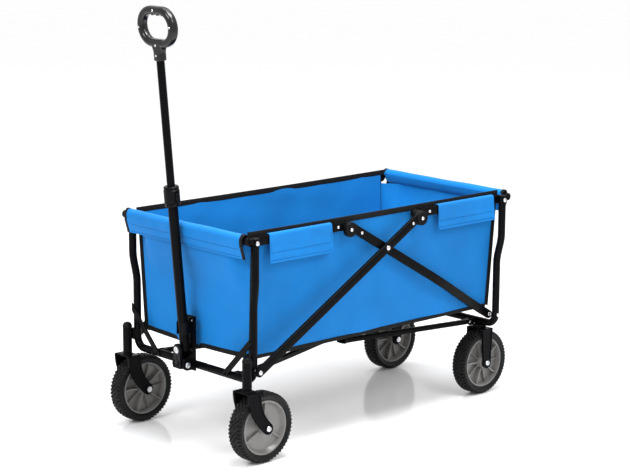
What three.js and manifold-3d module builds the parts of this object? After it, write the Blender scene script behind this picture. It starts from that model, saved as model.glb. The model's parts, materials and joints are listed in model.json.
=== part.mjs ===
// Folding beach cart: two end frames joined by a scissor on each side, a floor linkage, a fabric tub, two front
// casters, two fixed rear wheels and a telescopic pull handle. Millimetres, +X right, +Y to the rear, +Z up.
import * as THREE from 'three';
import { mergeVertices } from 'three/addons/utils/BufferGeometryUtils.js';
import Module from 'manifold-3d';

const wasm = await Module();
wasm.setup();

// ---- driving dimensions ----
const GAP = 0.3; // between parts that touch
const CENTRE_SHIFT = 17; // moves the cart so that the middle of its outline is at y = 0

// end frames: one bent tube each, with its upper half offset outward
const TUBE_R = 10;
const POST_X = 240; // upper part of a post
const POST_LOW_X = 229; // lower part, below the offset bend
const POST_Y = 440.6;
const POST_LOW_Y = 436.5;
const POST_TOP_Z = 561;
const BEND_TOP_Z = 455;
const BEND_LOW_Z = 375;
const CROSSBAR_Z = 203;
const CORNER_R = 28;
const TOP_BAR_Z = 555;
const TOP_BAR_Y = POST_Y + 2 * TUBE_R + 2; // clear of the rail ends; saddles bridge it to the posts

// scissor linkage on each side; the rail length follows from the four-bar closing flat
const TOP_PIVOT_Z = 549.4;
const LOW_PIVOT_Z = 228.4;
const LOW_PIVOT_Y = 432;
const RISE = TOP_PIVOT_Z - LOW_PIVOT_Z;
const PIVOT_SPAN = POST_Y + LOW_PIVOT_Y;
const RAIL = PIVOT_SPAN ** 2 / (2 * (PIVOT_SPAN + RISE));
const SLOPE = Math.atan2(RISE, PIVOT_SPAN - RAIL);
const BAR_THICK = 10;
const BAR_TALL = 23;
const OUTER_X = 245.6; // layers of bars, by the middle of their thickness
const INNER_X = 234.8;
const INNER_LOW_X = 206;
const CRANK_LOW = 15; // the inner diagonal's crank, along the bar from its foot
const CRANK_TOP = 300;
const RAIL_X = 224.3;

// floor linkage
const LINK_Y = 412;
const LINK_Z = 200;
const LINK_X = 150;
const LINK_W = 13;
const LINK_T = 10;
const FRONT_LINK_END_X = 45;
const REAR_LINK_END_X = 85;

// wheels
const WHEEL_R = 89;
const TYRE_W = 46;
const RIM_R = 69;
const HUB_R = 17;
const AXLE_R = 5;
const WHEEL_SEGMENTS = 32;
const HUB_SEGMENTS = 24;
const FRONT_WHEEL_X = 236;
const REAR_WHEEL_X = 174;
const REAR_AXLE_Y = 435;
const STEM_Y = -464;
const TRAIL = 43;
const SLEEVE_R = 12;
const SLEEVE_BORE = 8.5;
const SLEEVE_LOW_Z = 190;
const SLEEVE_TOP_Z = 258;
const KING_PIN_R = 7.5;
const FORK_TOP_Z = 186;
const FORK_THICK = 4;
const FORK_HALF = 27; // wheel middle to the inside of a fork blade

// handle, along its own axis from the bottom of the lower tube
const HANDLE_FOOT = new THREE.Vector3(0, -464.5, 242);
const HANDLE_LEAN = Math.atan2(76.5, 815);
const LOWER_TUBE_R = 12.5;
const LOWER_TUBE_BORE = 10.9;
const LOWER_TUBE_TOP = 400;
const LOWER_PLUG = 22;
const UPPER_TUBE_R = 10;
const UPPER_TUBE_BORE = 8.5;
const UPPER_TUBE_LOW = 326;
const UPPER_TUBE_TOP = 758;
const COLLAR_LOW = 373;
const COLLAR_TOP = 424;
const COLLAR_R = 20;
const RING_S = 818; // ring centre
const RING_HALF_W = 69;
const RING_HALF_H = 51;
const RING_SECTION = 23;
const NECK_LOW = 735;
const NECK_HALF_W = 15;
const GRIP_THICK = 25;

const PITCH_Y = -474;
const PITCH_Z = 209;
const SWING_S = 8; // swing screw, above the foot of the lower tube
const CHEEK_IN = 19.5;
const CHEEK_THICK = 3;
const BRACKET_TOP_Z = 330;
const CLIP_Z = 301;

// tub: half sizes at its mouth and at its floor
const TUB_X = 217;
const TUB_Y = 431;
const TUB_LOW_X = 199;
const TUB_LOW_Y = 424;
const TUB_LOW_Z = 250;
const TUB_TOP_Z = 573;
const WALL = 3;
const MAT_GAP = 4; // floor mat to the walls round it
const MAT_THICK = 8.7;

// ---- materials ----
const paint = (color, roughness, metalness) => new THREE.MeshStandardMaterial({ color, roughness, metalness });
const STEEL = paint(0x17181a, 0.42, 0.5);
const BRIGHT = paint(0xc9ccd0, 0.28, 1);
const PLASTIC = paint(0x1d1e20, 0.55, 0);
const RUBBER = paint(0x1b1b1c, 0.85, 0);
const WHEEL_GREY = paint(0x5c5e62, 0.55, 0);
const FABRIC = paint(0x1f86e0, 0.85, 0);
const PAD = paint(0x20242a, 0.9, 0);

const cart = new THREE.Group();
cart.position.y = CENTRE_SHIFT;
const add = (name, geometry, material, parent = cart) => {
  const mesh = new THREE.Mesh(geometry, material);
  mesh.name = name;
  parent.add(mesh);
  return mesh;
};
const SIDES = [['left', -1], ['right', 1]];

// ---- solids ----
function solidOf(geometry) {
  const bare = geometry.clone();
  bare.deleteAttribute('normal');
  bare.deleteAttribute('uv');
  const merged = mergeVertices(bare, 1e-4);
  return new wasm.Manifold(
    new wasm.Mesh({
      numProp: 3,
      vertProperties: new Float32Array(merged.attributes.position.array),
      triVerts: new Uint32Array(merged.index.array),
    }),
  );
}

function geometryOf(solid) {
  const mesh = solid.getMesh();
  const geometry = new THREE.BufferGeometry();
  geometry.setAttribute('position', new THREE.BufferAttribute(mesh.vertProperties, 3));
  geometry.setIndex(new THREE.BufferAttribute(mesh.triVerts, 1));
  geometry.computeVertexNormals();
  return geometry;
}

const join = (...pieces) => geometryOf(pieces.map(solidOf).reduce((a, b) => a.add(b)));
const cut = (piece, ...tools) =>
  geometryOf(tools.map(solidOf).reduce((a, b) => a.subtract(b), solidOf(piece)));

// a box from its lowest and highest corners
function block([x0, y0, z0], [x1, y1, z1]) {
  const box = new THREE.BoxGeometry(x1 - x0, y1 - y0, z1 - z0);
  return box.translate((x0 + x1) / 2, (y0 + y1) / 2, (z0 + z1) / 2);
}

// a rod between two points
function rod(from, to, radius, sides = 16) {
  const a = new THREE.Vector3(...from);
  const along = new THREE.Vector3(...to).sub(a);
  const cylinder = new THREE.CylinderGeometry(radius, radius, along.length(), sides);
  const turn = new THREE.Quaternion().setFromUnitVectors(new THREE.Vector3(0, 1, 0), along.clone().normalize());
  return cylinder.applyQuaternion(turn).translate(...a.addScaledVector(along, 0.5).toArray());
}

// a round solid about Z from [radius, height] points
function turned(points, segments = 24) {
  const lathe = new THREE.LatheGeometry(points.map(([r, z]) => new THREE.Vector2(r, z)), segments);
  return lathe.rotateX(Math.PI / 2);
}

// a closed ring about Z: its section closes on itself
const ring = (points, segments) => turned([...points, points[0]], segments);

// a plate outlined in the YZ plane, thickness along X
function sidePlate(shape, x0, x1, curveSegments = 8) {
  const plate = new THREE.ExtrudeGeometry(shape, { depth: x1 - x0, bevelEnabled: false, curveSegments });
  plate.applyMatrix4(new THREE.Matrix4().makeBasis(
    new THREE.Vector3(0, 1, 0), new THREE.Vector3(0, 0, 1), new THREE.Vector3(1, 0, 0)));
  return plate.translate(x0, 0, 0);
}

// ---- end frames ----
// one bent tube: post, offset bend, corner and half of the crossbar, then the same mirrored
// (side is -1 in front)
function endTube(side) {
  const at = (x, y, z) => new THREE.Vector3(x, side * y, z);
  const half = (mirror) => {
    const [top, low, inner] = [mirror * POST_X, mirror * POST_LOW_X, mirror * (POST_LOW_X - CORNER_R)];
    const bow = 0.5523 * CORNER_R; // a cubic curve close to a quarter circle
    const middle = (BEND_TOP_Z + BEND_LOW_Z) / 2;
    const bendStart = CROSSBAR_Z + CORNER_R;
    return [
      new THREE.LineCurve3(at(top, POST_Y, POST_TOP_Z), at(top, POST_Y, BEND_TOP_Z)),
      new THREE.CubicBezierCurve3(at(top, POST_Y, BEND_TOP_Z), at(top, POST_Y, middle),
        at(low, POST_LOW_Y, middle), at(low, POST_LOW_Y, BEND_LOW_Z)),
      new THREE.LineCurve3(at(low, POST_LOW_Y, BEND_LOW_Z), at(low, POST_LOW_Y, bendStart)),
      new THREE.CubicBezierCurve3(at(low, POST_LOW_Y, bendStart), at(low, POST_LOW_Y, bendStart - bow),
        at(inner + mirror * (CORNER_R - bow), POST_LOW_Y, CROSSBAR_Z), at(inner, POST_LOW_Y, CROSSBAR_Z)),
    ];
  };
  const flipped = half(-1).reverse().map((curve) => {
    if (curve.isLineCurve3) return new THREE.LineCurve3(curve.v2, curve.v1);
    return new THREE.CubicBezierCurve3(curve.v3, curve.v2, curve.v1, curve.v0);
  });
  const crossbar = new THREE.LineCurve3(at(POST_LOW_X - CORNER_R, POST_LOW_Y, CROSSBAR_Z),
    at(CORNER_R - POST_LOW_X, POST_LOW_Y, CROSSBAR_Z));
  const path = new THREE.CurvePath();
  path.curves = [...half(1), crossbar, ...flipped];
  const section = new THREE.Shape().absarc(0, 0, TUBE_R, 0, 2 * Math.PI);
  return new THREE.ExtrudeGeometry(section, { extrudePath: path, steps: 80, curveSegments: 6 });
}

// a lug behind the crossbar that carries one floor link
function linkLug(x, side) {
  const y = side * LINK_Y;
  const inner = block([x - 9.5, Math.min(y, side * (POST_LOW_Y - 8)), LINK_Z - 8],
    [x + 9.5, Math.max(y, side * (POST_LOW_Y - 8)), LINK_Z + 8]);
  const slotEnd = y - side * 14;
  const slot = block([x - LINK_W / 2 - 1, Math.min(y + side * 13, slotEnd), LINK_Z - 12],
    [x + LINK_W / 2 + 1, Math.max(y + side * 13, slotEnd), LINK_Z + 12]);
  return cut(inner, slot);
}

function casterSleeve(x) {
  const sleeve = ring([[SLEEVE_BORE, SLEEVE_LOW_Z], [SLEEVE_R, SLEEVE_LOW_Z], [SLEEVE_R, SLEEVE_TOP_Z],
    [SLEEVE_BORE, SLEEVE_TOP_Z]], 20);
  return sleeve.translate(x, STEM_Y, 0);
}

// a flat bar from the front of a post down to the crossbar
function brace(x) {
  const side = Math.sign(x);
  const outline = new THREE.Shape([[236, 318], [236, 299], [140, 201], [121, 201]]
    .map(([u, v]) => new THREE.Vector2(side * u, v)));
  const plate = new THREE.ExtrudeGeometry(outline, { depth: 4.5, bevelEnabled: false });
  return plate.rotateX(Math.PI / 2).translate(0, -POST_LOW_Y - TUBE_R + 1.5, 0);
}

function frontEndFrame() {
  const pieces = [endTube(-1)];
  for (const [, side] of SIDES) {
    const x = side * (FRONT_WHEEL_X + 1);
    pieces.push(casterSleeve(x), brace(side), linkLug(side * LINK_X, -1));
    const near = side * (POST_LOW_X - 6);
    pieces.push(block([Math.min(near, x), STEM_Y + SLEEVE_BORE + 1.5, 226],
      [Math.max(near, x), -POST_LOW_Y - 2, 254]));
  }
  return join(...pieces);
}

function rearEndFrame() {
  return join(endTube(1), ...SIDES.map(([, side]) => linkLug(side * LINK_X, 1)));
}

add('front_end_frame', frontEndFrame(), STEEL);
add('rear_end_frame', rearEndFrame(), STEEL);
for (const [name, side] of [['front', -1], ['rear', 1]]) {
  const bar = rod([-POST_X, side * TOP_BAR_Y, TOP_BAR_Z], [POST_X, side * TOP_BAR_Y, TOP_BAR_Z], TUBE_R, 14);
  const [y0, y1] = [side * (POST_Y + TUBE_R + GAP), side * TOP_BAR_Y].sort((a, b) => a - b);
  const saddle = (x) => block([x - 8, y0, TOP_BAR_Z - 7], [x + 8, y1, TOP_BAR_Z + 6]);
  add(`${name}_top_bar`, join(bar, saddle(-POST_X), saddle(POST_X)), STEEL);
}
for (const [name, side] of SIDES) {
  const cap = turned([[0, SLEEVE_TOP_Z + GAP], [SLEEVE_R, SLEEVE_TOP_Z + GAP], [SLEEVE_R, SLEEVE_TOP_Z + 5],
    [SLEEVE_R - 3, SLEEVE_TOP_Z + 10], [5, SLEEVE_TOP_Z + 13], [0, SLEEVE_TOP_Z + 13.5]], 20);
  add(`caster_sleeve_cap_${name}`, cap.translate(side * (FRONT_WHEEL_X + 1), STEM_Y, 0), PLASTIC);
}

// ---- side scissor ----
// a flat tube from a pivot, where it ends round, to a square end short of another point in the side view;
// drift moves its middle plane along the bar
function sideBar(from, to, x, short, drift = () => 0) {
  const [dy, dz] = [to[0] - from[0], to[1] - from[1]];
  const length = Math.hypot(dy, dz) - short;
  const bar = new THREE.BoxGeometry(BAR_THICK, length, BAR_TALL, 1, drift.length ? 12 : 1, 1);
  bar.translate(0, length / 2, 0);
  const at = bar.attributes.position;
  for (let i = 0; i < at.count; i += 1) at.setX(i, at.getX(i) + drift(at.getY(i)));
  const half = BAR_THICK / 2;
  const end = rod([drift(0) - half, 0, 0], [drift(0) + half, 0, 0], BAR_TALL / 2, 20);
  return join(bar, end).rotateX(Math.atan2(dz, dy)).translate(x, from[0], from[1]);
}

const HINGE_FRONT = [-POST_Y + RAIL, TOP_PIVOT_Z];
const HINGE_REAR = [POST_Y - RAIL, TOP_PIVOT_Z];
const CROSS = [0, LOW_PIVOT_Z + LOW_PIVOT_Y * Math.tan(SLOPE)];
const HINGE_CLEAR = 17; // a bar stops this far short of its plastic hinge
const DISC_R = 14;

for (const [name, side] of SIDES) {
  const low = -LOW_PIVOT_Y;
  const outer = sideBar([low, LOW_PIVOT_Z], HINGE_REAR, side * OUTER_X, HINGE_CLEAR);
  const pinHole = rod([side * 220, CROSS[0], CROSS[1]], [side * 260, CROSS[0], CROSS[1]], 4.4, 12);
  add(`outer_diagonal_${name}`, cut(outer, pinHole), STEEL);
  // the inner diagonal is cranked inward at its foot, so that it passes inside the rear post
  const foot = side * (INNER_LOW_X - INNER_X);
  const lean = (s) => foot * (1 - THREE.MathUtils.smoothstep(s, CRANK_LOW, CRANK_TOP));
  const inner = sideBar([LOW_PIVOT_Y, LOW_PIVOT_Z], HINGE_FRONT, side * INNER_X, HINGE_CLEAR, lean);
  add(`inner_diagonal_${name}`, cut(inner, pinHole), STEEL);
  const pin = join(rod([side * 226.5, ...CROSS], [side * 253, ...CROSS], 4, 12),
    rod([side * 250.6, ...CROSS], [side * 253, ...CROSS], 6.5, 12),
    rod([side * 226.5, ...CROSS], [side * 229, ...CROSS], 6.5, 12));
  add(`crossing_rivet_${name}`, pin, BRIGHT);
}

for (const [end, direction] of [['front', 1], ['rear', -1]]) {
  for (const [name, side] of SIDES) {
    const post = [-direction * POST_Y, TOP_PIVOT_Z];
    const hinge = end === 'front' ? HINGE_FRONT : HINGE_REAR;
    add(`${end}_rail_${name}`, sideBar(post, hinge, side * RAIL_X, HINGE_CLEAR), STEEL);
    railPlug(end, name, side, direction, hinge);
    diagonalPlug(end, name, side, direction, hinge);
  }
}

// the plastic plug in a rail's end, with a round eye at the hinge
function railPlug(end, name, side, direction, hinge) {
  const [x0, x1] = [side * (RAIL_X - BAR_THICK / 2), side * (RAIL_X + BAR_THICK / 2)].sort((a, b) => a - b);
  const reach = hinge[0] - direction * (HINGE_CLEAR - GAP);
  const [y0, y1] = [reach, hinge[0]].sort((a, b) => a - b);
  const eye = rod([x0, ...hinge], [x1, ...hinge], DISC_R - 2, 20);
  const bore = rod([x0 - 1, ...hinge], [x1 + 1, ...hinge], 4.5, 12);
  const arm = block([x0, y0, hinge[1] - 9], [x1, y1, hinge[1] + 9]);
  add(`${end}_rail_hinge_${name}`, cut(join(eye, arm), bore), PLASTIC);
}

// the plug in a diagonal's end, with the hinge disc on its outside and a boss that ends at the rail's eye
function diagonalPlug(end, name, side, direction, hinge) {
  const x = side * (end === 'front' ? INNER_X : OUTER_X);
  const outside = x + side * (BAR_THICK / 2 + 3);
  const inside = side * (RAIL_X + BAR_THICK / 2 + GAP);
  const disc = rod([inside, ...hinge], [outside, ...hinge], DISC_R, 24);
  const [dy, dz] = [direction * Math.cos(SLOPE), -Math.sin(SLOPE)];
  const foot = [hinge[0] + dy * (HINGE_CLEAR - GAP), hinge[1] + dz * (HINGE_CLEAR - GAP)];
  const arm = sideBar(hinge, foot, x, 0);
  add(`${end}_diagonal_hinge_${name}`, join(disc, arm), PLASTIC);
}

// ---- floor linkage ----
// a flat link lying from a corner lug to the middle of the cart
function floorLink(fromX, toX, side, endX) {
  const from = new THREE.Vector3(fromX, side * LINK_Y, LINK_Z);
  const to = new THREE.Vector3(toX, side * 7, LINK_Z);
  const along = to.clone().sub(from);
  const bar = new THREE.BoxGeometry(LINK_W, along.length() - 26, LINK_T);
  bar.rotateZ(Math.atan2(along.y, along.x) - Math.PI / 2);
  bar.translate(...from.clone().add(to).multiplyScalar(0.5).toArray());
  const nose = block([fromX - LINK_W / 2, Math.min(from.y, from.y - side * 30), LINK_Z - LINK_T / 2],
    [fromX + LINK_W / 2, Math.max(from.y, from.y - side * 30), LINK_Z + LINK_T / 2]);
  const heel = rod([fromX - LINK_W / 2, from.y, LINK_Z], [fromX + LINK_W / 2, from.y, LINK_Z], LINK_T / 2, 12);
  const tail = block([toX - LINK_W / 2, Math.min(0, side * 30), LINK_Z - LINK_T / 2],
    [toX + LINK_W / 2, Math.max(0, side * 30), LINK_Z + LINK_T / 2]);
  const tip = rod([toX - LINK_W / 2, 0, LINK_Z], [endX, 0, LINK_Z], LINK_T / 2, 12);
  return join(bar, nose, heel, tail, tip);
}

for (const [name, side] of SIDES) {
  const rearEnd = side * (REAR_LINK_END_X - LINK_W / 2 - 12);
  add(`front_floor_link_${name}`,
    floorLink(side * LINK_X, side * FRONT_LINK_END_X, -1, side * (FRONT_LINK_END_X + LINK_W / 2)), STEEL);
  add(`rear_floor_link_${name}`, floorLink(side * LINK_X, side * REAR_LINK_END_X, 1, rearEnd), STEEL);
}
const hubEdge = FRONT_LINK_END_X - LINK_W / 2 - GAP;
add('floor_hub', join(block([-hubEdge, -26, LINK_Z - 6], [hubEdge, 26, LINK_Z - 2.5]),
  block([-hubEdge, -13, LINK_Z - 6], [3 - hubEdge, 13, LINK_Z + 6]),
  block([hubEdge - 3, -13, LINK_Z - 6], [hubEdge, 13, LINK_Z + 6])), STEEL);

// ---- wheels ----
const toWheelAxis = (geometry) => geometry.rotateX(-Math.PI / 2).rotateZ(-Math.PI / 2);

function tyre() {
  const half = TYRE_W / 2;
  return toWheelAxis(ring([[RIM_R, -half + 5], [WHEEL_R - 9, -half], [WHEEL_R - 2.5, -half + 4],
    [WHEEL_R, -half + 10], [WHEEL_R, half - 10], [WHEEL_R - 2.5, half - 4], [WHEEL_R - 9, half],
    [RIM_R, half - 5]], WHEEL_SEGMENTS));
}

function wheelHub() {
  const r = RIM_R - 0.6;
  return toWheelAxis(ring([[AXLE_R + 0.6, -21], [HUB_R, -21], [HUB_R, -6], [r - 8, -4], [r - 5, -17], [r, -17],
    [r, 17], [r - 5, 17], [r - 8, 4], [HUB_R, 6], [HUB_R, 21], [AXLE_R + 0.6, 21]], HUB_SEGMENTS));
}

// the bolt through a fork and its wheel, with a domed head outside and a nut inside
function axleBolt(out) {
  const reach = FORK_HALF + FORK_THICK + GAP;
  const [head, nut] = [out * reach, -out * reach];
  return join(rod([nut - out * 7, 0, 0], [head + out * 2, 0, 0], AXLE_R, 12),
    rod([head, 0, 0], [head + out * 5, 0, 0], 8, 12), rod([nut, 0, 0], [nut - out * 6, 0, 0], 8, 6));
}

function bladeShape(topY, axleY, bow) {
  const [foot, top] = [WHEEL_R, FORK_TOP_Z - 1];
  const shape = new THREE.Shape();
  shape.moveTo(topY - 18, top);
  shape.lineTo(topY + 18, top);
  shape.quadraticCurveTo(topY + 20 + bow, (top + foot) / 2 + 14, axleY + 12, foot + 5);
  shape.absarc(axleY, foot, 13, Math.PI * 0.13, -Math.PI * 0.9, true);
  shape.quadraticCurveTo(topY - 16 + bow * 0.2, (top + foot) / 2, topY - 18, top);
  return shape;
}

// an inverted U with one blade on each side of the wheel
function fork(x, topY, axleY, bow) {
  const shape = bladeShape(topY, axleY, bow);
  const blades = [-1, 1].map((s) => {
    const [a, b] = [x + s * FORK_HALF, x + s * (FORK_HALF + FORK_THICK)].sort((p, q) => p - q);
    return sidePlate(shape, a, b, 6);
  });
  const wide = FORK_HALF + FORK_THICK;
  const crown = block([x - wide, topY - 18, FORK_TOP_Z - FORK_THICK], [x + wide, topY + 18, FORK_TOP_Z]);
  const hole = rod([x - 60, axleY, WHEEL_R], [x + 60, axleY, WHEEL_R], AXLE_R + 0.5, 12);
  return { pieces: [...blades, crown], hole };
}

for (const [name, side] of SIDES) {
  const stemX = side * (FRONT_WHEEL_X + 1);
  const axleY = STEM_Y + TRAIL;
  const { pieces, hole } = fork(stemX, STEM_Y, axleY, 26);
  pieces.push(rod([stemX, STEM_Y, FORK_TOP_Z - 2], [stemX, STEM_Y, SLEEVE_TOP_Z - 4], KING_PIN_R, 16));
  add(`caster_fork_${name}`, cut(join(...pieces), hole), STEEL);
  const rear = fork(side * REAR_WHEEL_X, REAR_AXLE_Y, REAR_AXLE_Y, 2);
  const spacer = [[-14, -14, FORK_TOP_Z - 1], [14, 10, CROSSBAR_Z - TUBE_R - GAP]];
  const [low, high] = spacer.map(([x, y, z]) => [x + side * REAR_WHEEL_X, y + REAR_AXLE_Y, z]);
  add(`rear_fork_${name}`, cut(join(...rear.pieces, block(low, high)), rear.hole), STEEL);
  for (const [end, x, y] of [['front', stemX, axleY], ['rear', side * REAR_WHEEL_X, REAR_AXLE_Y]]) {
    const wheel = new THREE.Group();
    wheel.position.set(x, y, WHEEL_R);
    cart.add(wheel);
    add(`${end}_tyre_${name}`, tyre(), RUBBER, wheel);
    add(`${end}_wheel_${name}`, wheelHub(), WHEEL_GREY, wheel);
    add(`${end}_axle_bolt_${name}`, axleBolt(side), BRIGHT, wheel);
  }
}

// ---- handle ----
// a steel channel on the crossbar: a back plate, and two cheeks that carry the pitch bolt
function handleBracket() {
  const [wide, back] = [CHEEK_IN + CHEEK_THICK, -POST_LOW_Y - TUBE_R - GAP];
  const plate = block([-wide, back - 3, 190], [wide, back, BRACKET_TOP_Z]);
  const cheek = new THREE.Shape();
  cheek.moveTo(back - 1, BRACKET_TOP_Z);
  cheek.lineTo(back - 9, BRACKET_TOP_Z);
  cheek.lineTo(back - 9, 240);
  cheek.lineTo(PITCH_Y - 12, PITCH_Z + 10);
  cheek.absarc(PITCH_Y, PITCH_Z, 14, Math.PI * 0.8, Math.PI * 1.5, false);
  cheek.lineTo(back - 1, PITCH_Z - 14);
  const cheeks = [-1, 1].map((s) => {
    const [a, b] = [s * CHEEK_IN, s * wide].sort((p, q) => p - q);
    return sidePlate(cheek, a, b, 6);
  });
  const hole = rod([-40, PITCH_Y, PITCH_Z], [40, PITCH_Y, PITCH_Z], 4.5, 12);
  return cut(join(plate, ...cheeks), hole);
}

// an open plastic clip that holds the lower tube upright
function handleClip() {
  const back = -POST_LOW_Y - TUBE_R - 3 - 2 * GAP;
  const axisY = HANDLE_FOOT.y - Math.tan(HANDLE_LEAN) * (CLIP_Z - HANDLE_FOOT.z);
  const [inside, outside] = [LOWER_TUBE_R + 0.8, LOWER_TUBE_R + 4];
  const body = join(rod([0, axisY, CLIP_Z - 16], [0, axisY, CLIP_Z + 16], outside, 24),
    block([-14, axisY, CLIP_Z - 12], [14, back, CLIP_Z + 12]));
  const lean = rod([0, axisY + 4, CLIP_Z - 40], [0, axisY - 4, CLIP_Z + 40], inside, 24);
  const mouth = block([-8.5, axisY - 30, CLIP_Z - 20], [8.5, axisY, CLIP_Z + 20]);
  return cut(body, lean, mouth);
}

// the plastic yoke: a barrel on the pitch bolt, and a rounded front plate for the swing screw
function handleYoke() {
  const barrel = rod([-CHEEK_IN + GAP, PITCH_Y, PITCH_Z], [CHEEK_IN - GAP, PITCH_Y, PITCH_Z], 13, 24);
  const base = block([-15, PITCH_Y - 12, PITCH_Z], [15, PITCH_Y + 12, 231]);
  const front = new THREE.Shape();
  front.moveTo(-16, PITCH_Z - 8);
  front.lineTo(16, PITCH_Z - 8);
  front.lineTo(13, SWING_Z);
  front.absarc(0, SWING_Z, 13, 0, Math.PI, false);
  const plate = new THREE.ExtrudeGeometry(front, { depth: 8, bevelEnabled: false, curveSegments: 10 });
  plate.rotateX(Math.PI / 2).translate(0, PITCH_Y - 10, 0);
  const boltHole = rod([-40, PITCH_Y, PITCH_Z], [40, PITCH_Y, PITCH_Z], 4.5, 12);
  const screwHole = rod(alongHandle(-40), alongHandle(10), 4.5, 12);
  return cut(join(barrel, base, plate), boltHole, screwHole);
}

// points on the swing screw's line, which crosses the handle's axis at right angles
const SWING_Z = HANDLE_FOOT.z + SWING_S * Math.cos(HANDLE_LEAN);
function alongHandle(t) {
  const foot = HANDLE_FOOT.clone();
  foot.y -= Math.sin(HANDLE_LEAN) * SWING_S;
  foot.z = SWING_Z;
  return [0, foot.y + Math.cos(HANDLE_LEAN) * t, foot.z + Math.sin(HANDLE_LEAN) * t];
}

const pitchReach = CHEEK_IN + CHEEK_THICK + GAP;
add('handle_bracket', handleBracket(), STEEL);
add('handle_clip', handleClip(), PLASTIC);
add('handle_yoke', handleYoke(), PLASTIC);
const onPitchAxis = (x) => [x, PITCH_Y, PITCH_Z];
add('handle_pitch_bolt', join(rod(onPitchAxis(-pitchReach - 6), onPitchAxis(pitchReach + 2), 4, 12),
  rod(onPitchAxis(pitchReach), onPitchAxis(pitchReach + 4), 7.5, 12),
  rod(onPitchAxis(-pitchReach - 5), onPitchAxis(-pitchReach), 7.5, 6)), BRIGHT);
add('handle_swing_screw', join(rod(alongHandle(-29.5), alongHandle(8), 4, 12),
  rod(alongHandle(-31.5), alongHandle(-27.6), 6.5, 12)), BRIGHT);

const handle = new THREE.Group();
handle.position.copy(HANDLE_FOOT);
handle.rotation.x = HANDLE_LEAN;
cart.add(handle);

function lowerTube() {
  const tube = turned([[0, 0], [LOWER_TUBE_R, 0], [LOWER_TUBE_R, LOWER_TUBE_TOP],
    [LOWER_TUBE_BORE, LOWER_TUBE_TOP], [LOWER_TUBE_BORE, LOWER_PLUG], [0, LOWER_PLUG]], 20);
  return cut(tube, rod([0, -30, SWING_S], [0, 30, SWING_S], 4.5, 12));
}

function collar() {
  const body = ring([[LOWER_TUBE_R + 0.6, COLLAR_LOW], [COLLAR_R - 1, COLLAR_LOW], [COLLAR_R, COLLAR_LOW + 3],
    [COLLAR_R, COLLAR_TOP - 3], [COLLAR_R - 1, COLLAR_TOP], [UPPER_TUBE_R + 0.6, COLLAR_TOP],
    [UPPER_TUBE_R + 0.6, LOWER_TUBE_TOP + 1], [LOWER_TUBE_R + 0.6, LOWER_TUBE_TOP + 1]], 28);
  return cut(body, ovalKey(14.4, COLLAR_R + 5, GAP + 0.2));
}

// an upright oval on the collar's right side, from one depth to another
function ovalKey(x0, x1, grow) {
  const [halfWide, halfTall] = [4.5, 5.5];
  const shape = new THREE.Shape();
  const middle = (COLLAR_LOW + COLLAR_TOP) / 2;
  shape.absarc(0, middle + halfTall, halfWide + grow, 0, Math.PI, false);
  shape.absarc(0, middle - halfTall, halfWide + grow, Math.PI, 2 * Math.PI, false);
  return sidePlate(shape, x0, x1, 8);
}

// one half of the ring grip; side is -1 for the front half
function gripShell(side) {
  const outline = new THREE.Shape();
  const [half, straight] = [RING_HALF_H, RING_HALF_W - RING_HALF_H];
  const neck = Math.asin(NECK_HALF_W / half);
  outline.moveTo(NECK_HALF_W, NECK_LOW);
  outline.lineTo(NECK_HALF_W, RING_S - half - 5);
  outline.lineTo(straight + 4, RING_S - half + 0.5);
  outline.absarc(straight, RING_S, half, -Math.PI / 2 + neck * 0.4, Math.PI / 2, false);
  outline.absarc(-straight, RING_S, half, Math.PI / 2, 1.5 * Math.PI - neck * 0.4, false);
  outline.lineTo(-NECK_HALF_W, RING_S - half - 5);
  outline.lineTo(-NECK_HALF_W, NECK_LOW);
  const hole = new THREE.Path();
  hole.absarc(straight, RING_S, half - RING_SECTION, -Math.PI / 2, Math.PI / 2, false);
  hole.absarc(-straight, RING_S, half - RING_SECTION, Math.PI / 2, 1.5 * Math.PI, false);
  outline.holes.push(hole);
  const bevel = 6;
  const shell = new THREE.ExtrudeGeometry(outline, { depth: GRIP_THICK / 2 - GAP / 2 - bevel, bevelSize: bevel,
    bevelOffset: -bevel, bevelThickness: bevel, bevelSegments: 2, curveSegments: 9 });
  const facing = shell.rotateX(Math.PI / 2); // outline stands in XZ, thickness runs to -Y
  const flat = block([-90, -bevel - 2, NECK_LOW - 20], [90, bevel + 2, RING_S + 80]);
  flat.translate(0, bevel + 2, 0);
  const trimmed = cut(facing, flat).translate(0, -GAP / 2, 0);
  if (side > 0) trimmed.rotateZ(Math.PI);
  return cut(trimmed, rod([0, 0, NECK_LOW - 5], [0, 0, UPPER_TUBE_TOP + 1], UPPER_TUBE_R + 0.5, 20));
}

add('handle_lower_tube', lowerTube(), STEEL, handle);
add('handle_collar', collar(), PLASTIC, handle);
add('collar_button', ovalKey(18, COLLAR_R + 3.2, 0), PLASTIC, handle);
add('handle_upper_tube', ring([[UPPER_TUBE_BORE, UPPER_TUBE_LOW], [UPPER_TUBE_R, UPPER_TUBE_LOW],
  [UPPER_TUBE_R, UPPER_TUBE_TOP], [UPPER_TUBE_BORE, UPPER_TUBE_TOP]], 18), STEEL, handle);
add('grip_front_shell', gripShell(-1), PLASTIC, handle);
add('grip_rear_shell', gripShell(1), PLASTIC, handle);

// ---- tub ----
// an upright block that follows the tub's taper, inset from its outside
function tubBlock(inset, z0, z1) {
  const box = block([-1, -1, z0], [1, 1, z1]);
  const at = box.attributes.position;
  for (let i = 0; i < at.count; i += 1) {
    const share = (at.getZ(i) - TUB_LOW_Z) / (TUB_TOP_Z - TUB_LOW_Z);
    at.setX(i, at.getX(i) * (THREE.MathUtils.lerp(TUB_LOW_X, TUB_X, share) - inset));
    at.setY(i, at.getY(i) * (THREE.MathUtils.lerp(TUB_LOW_Y, TUB_Y, share) - inset));
  }
  return box;
}

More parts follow.
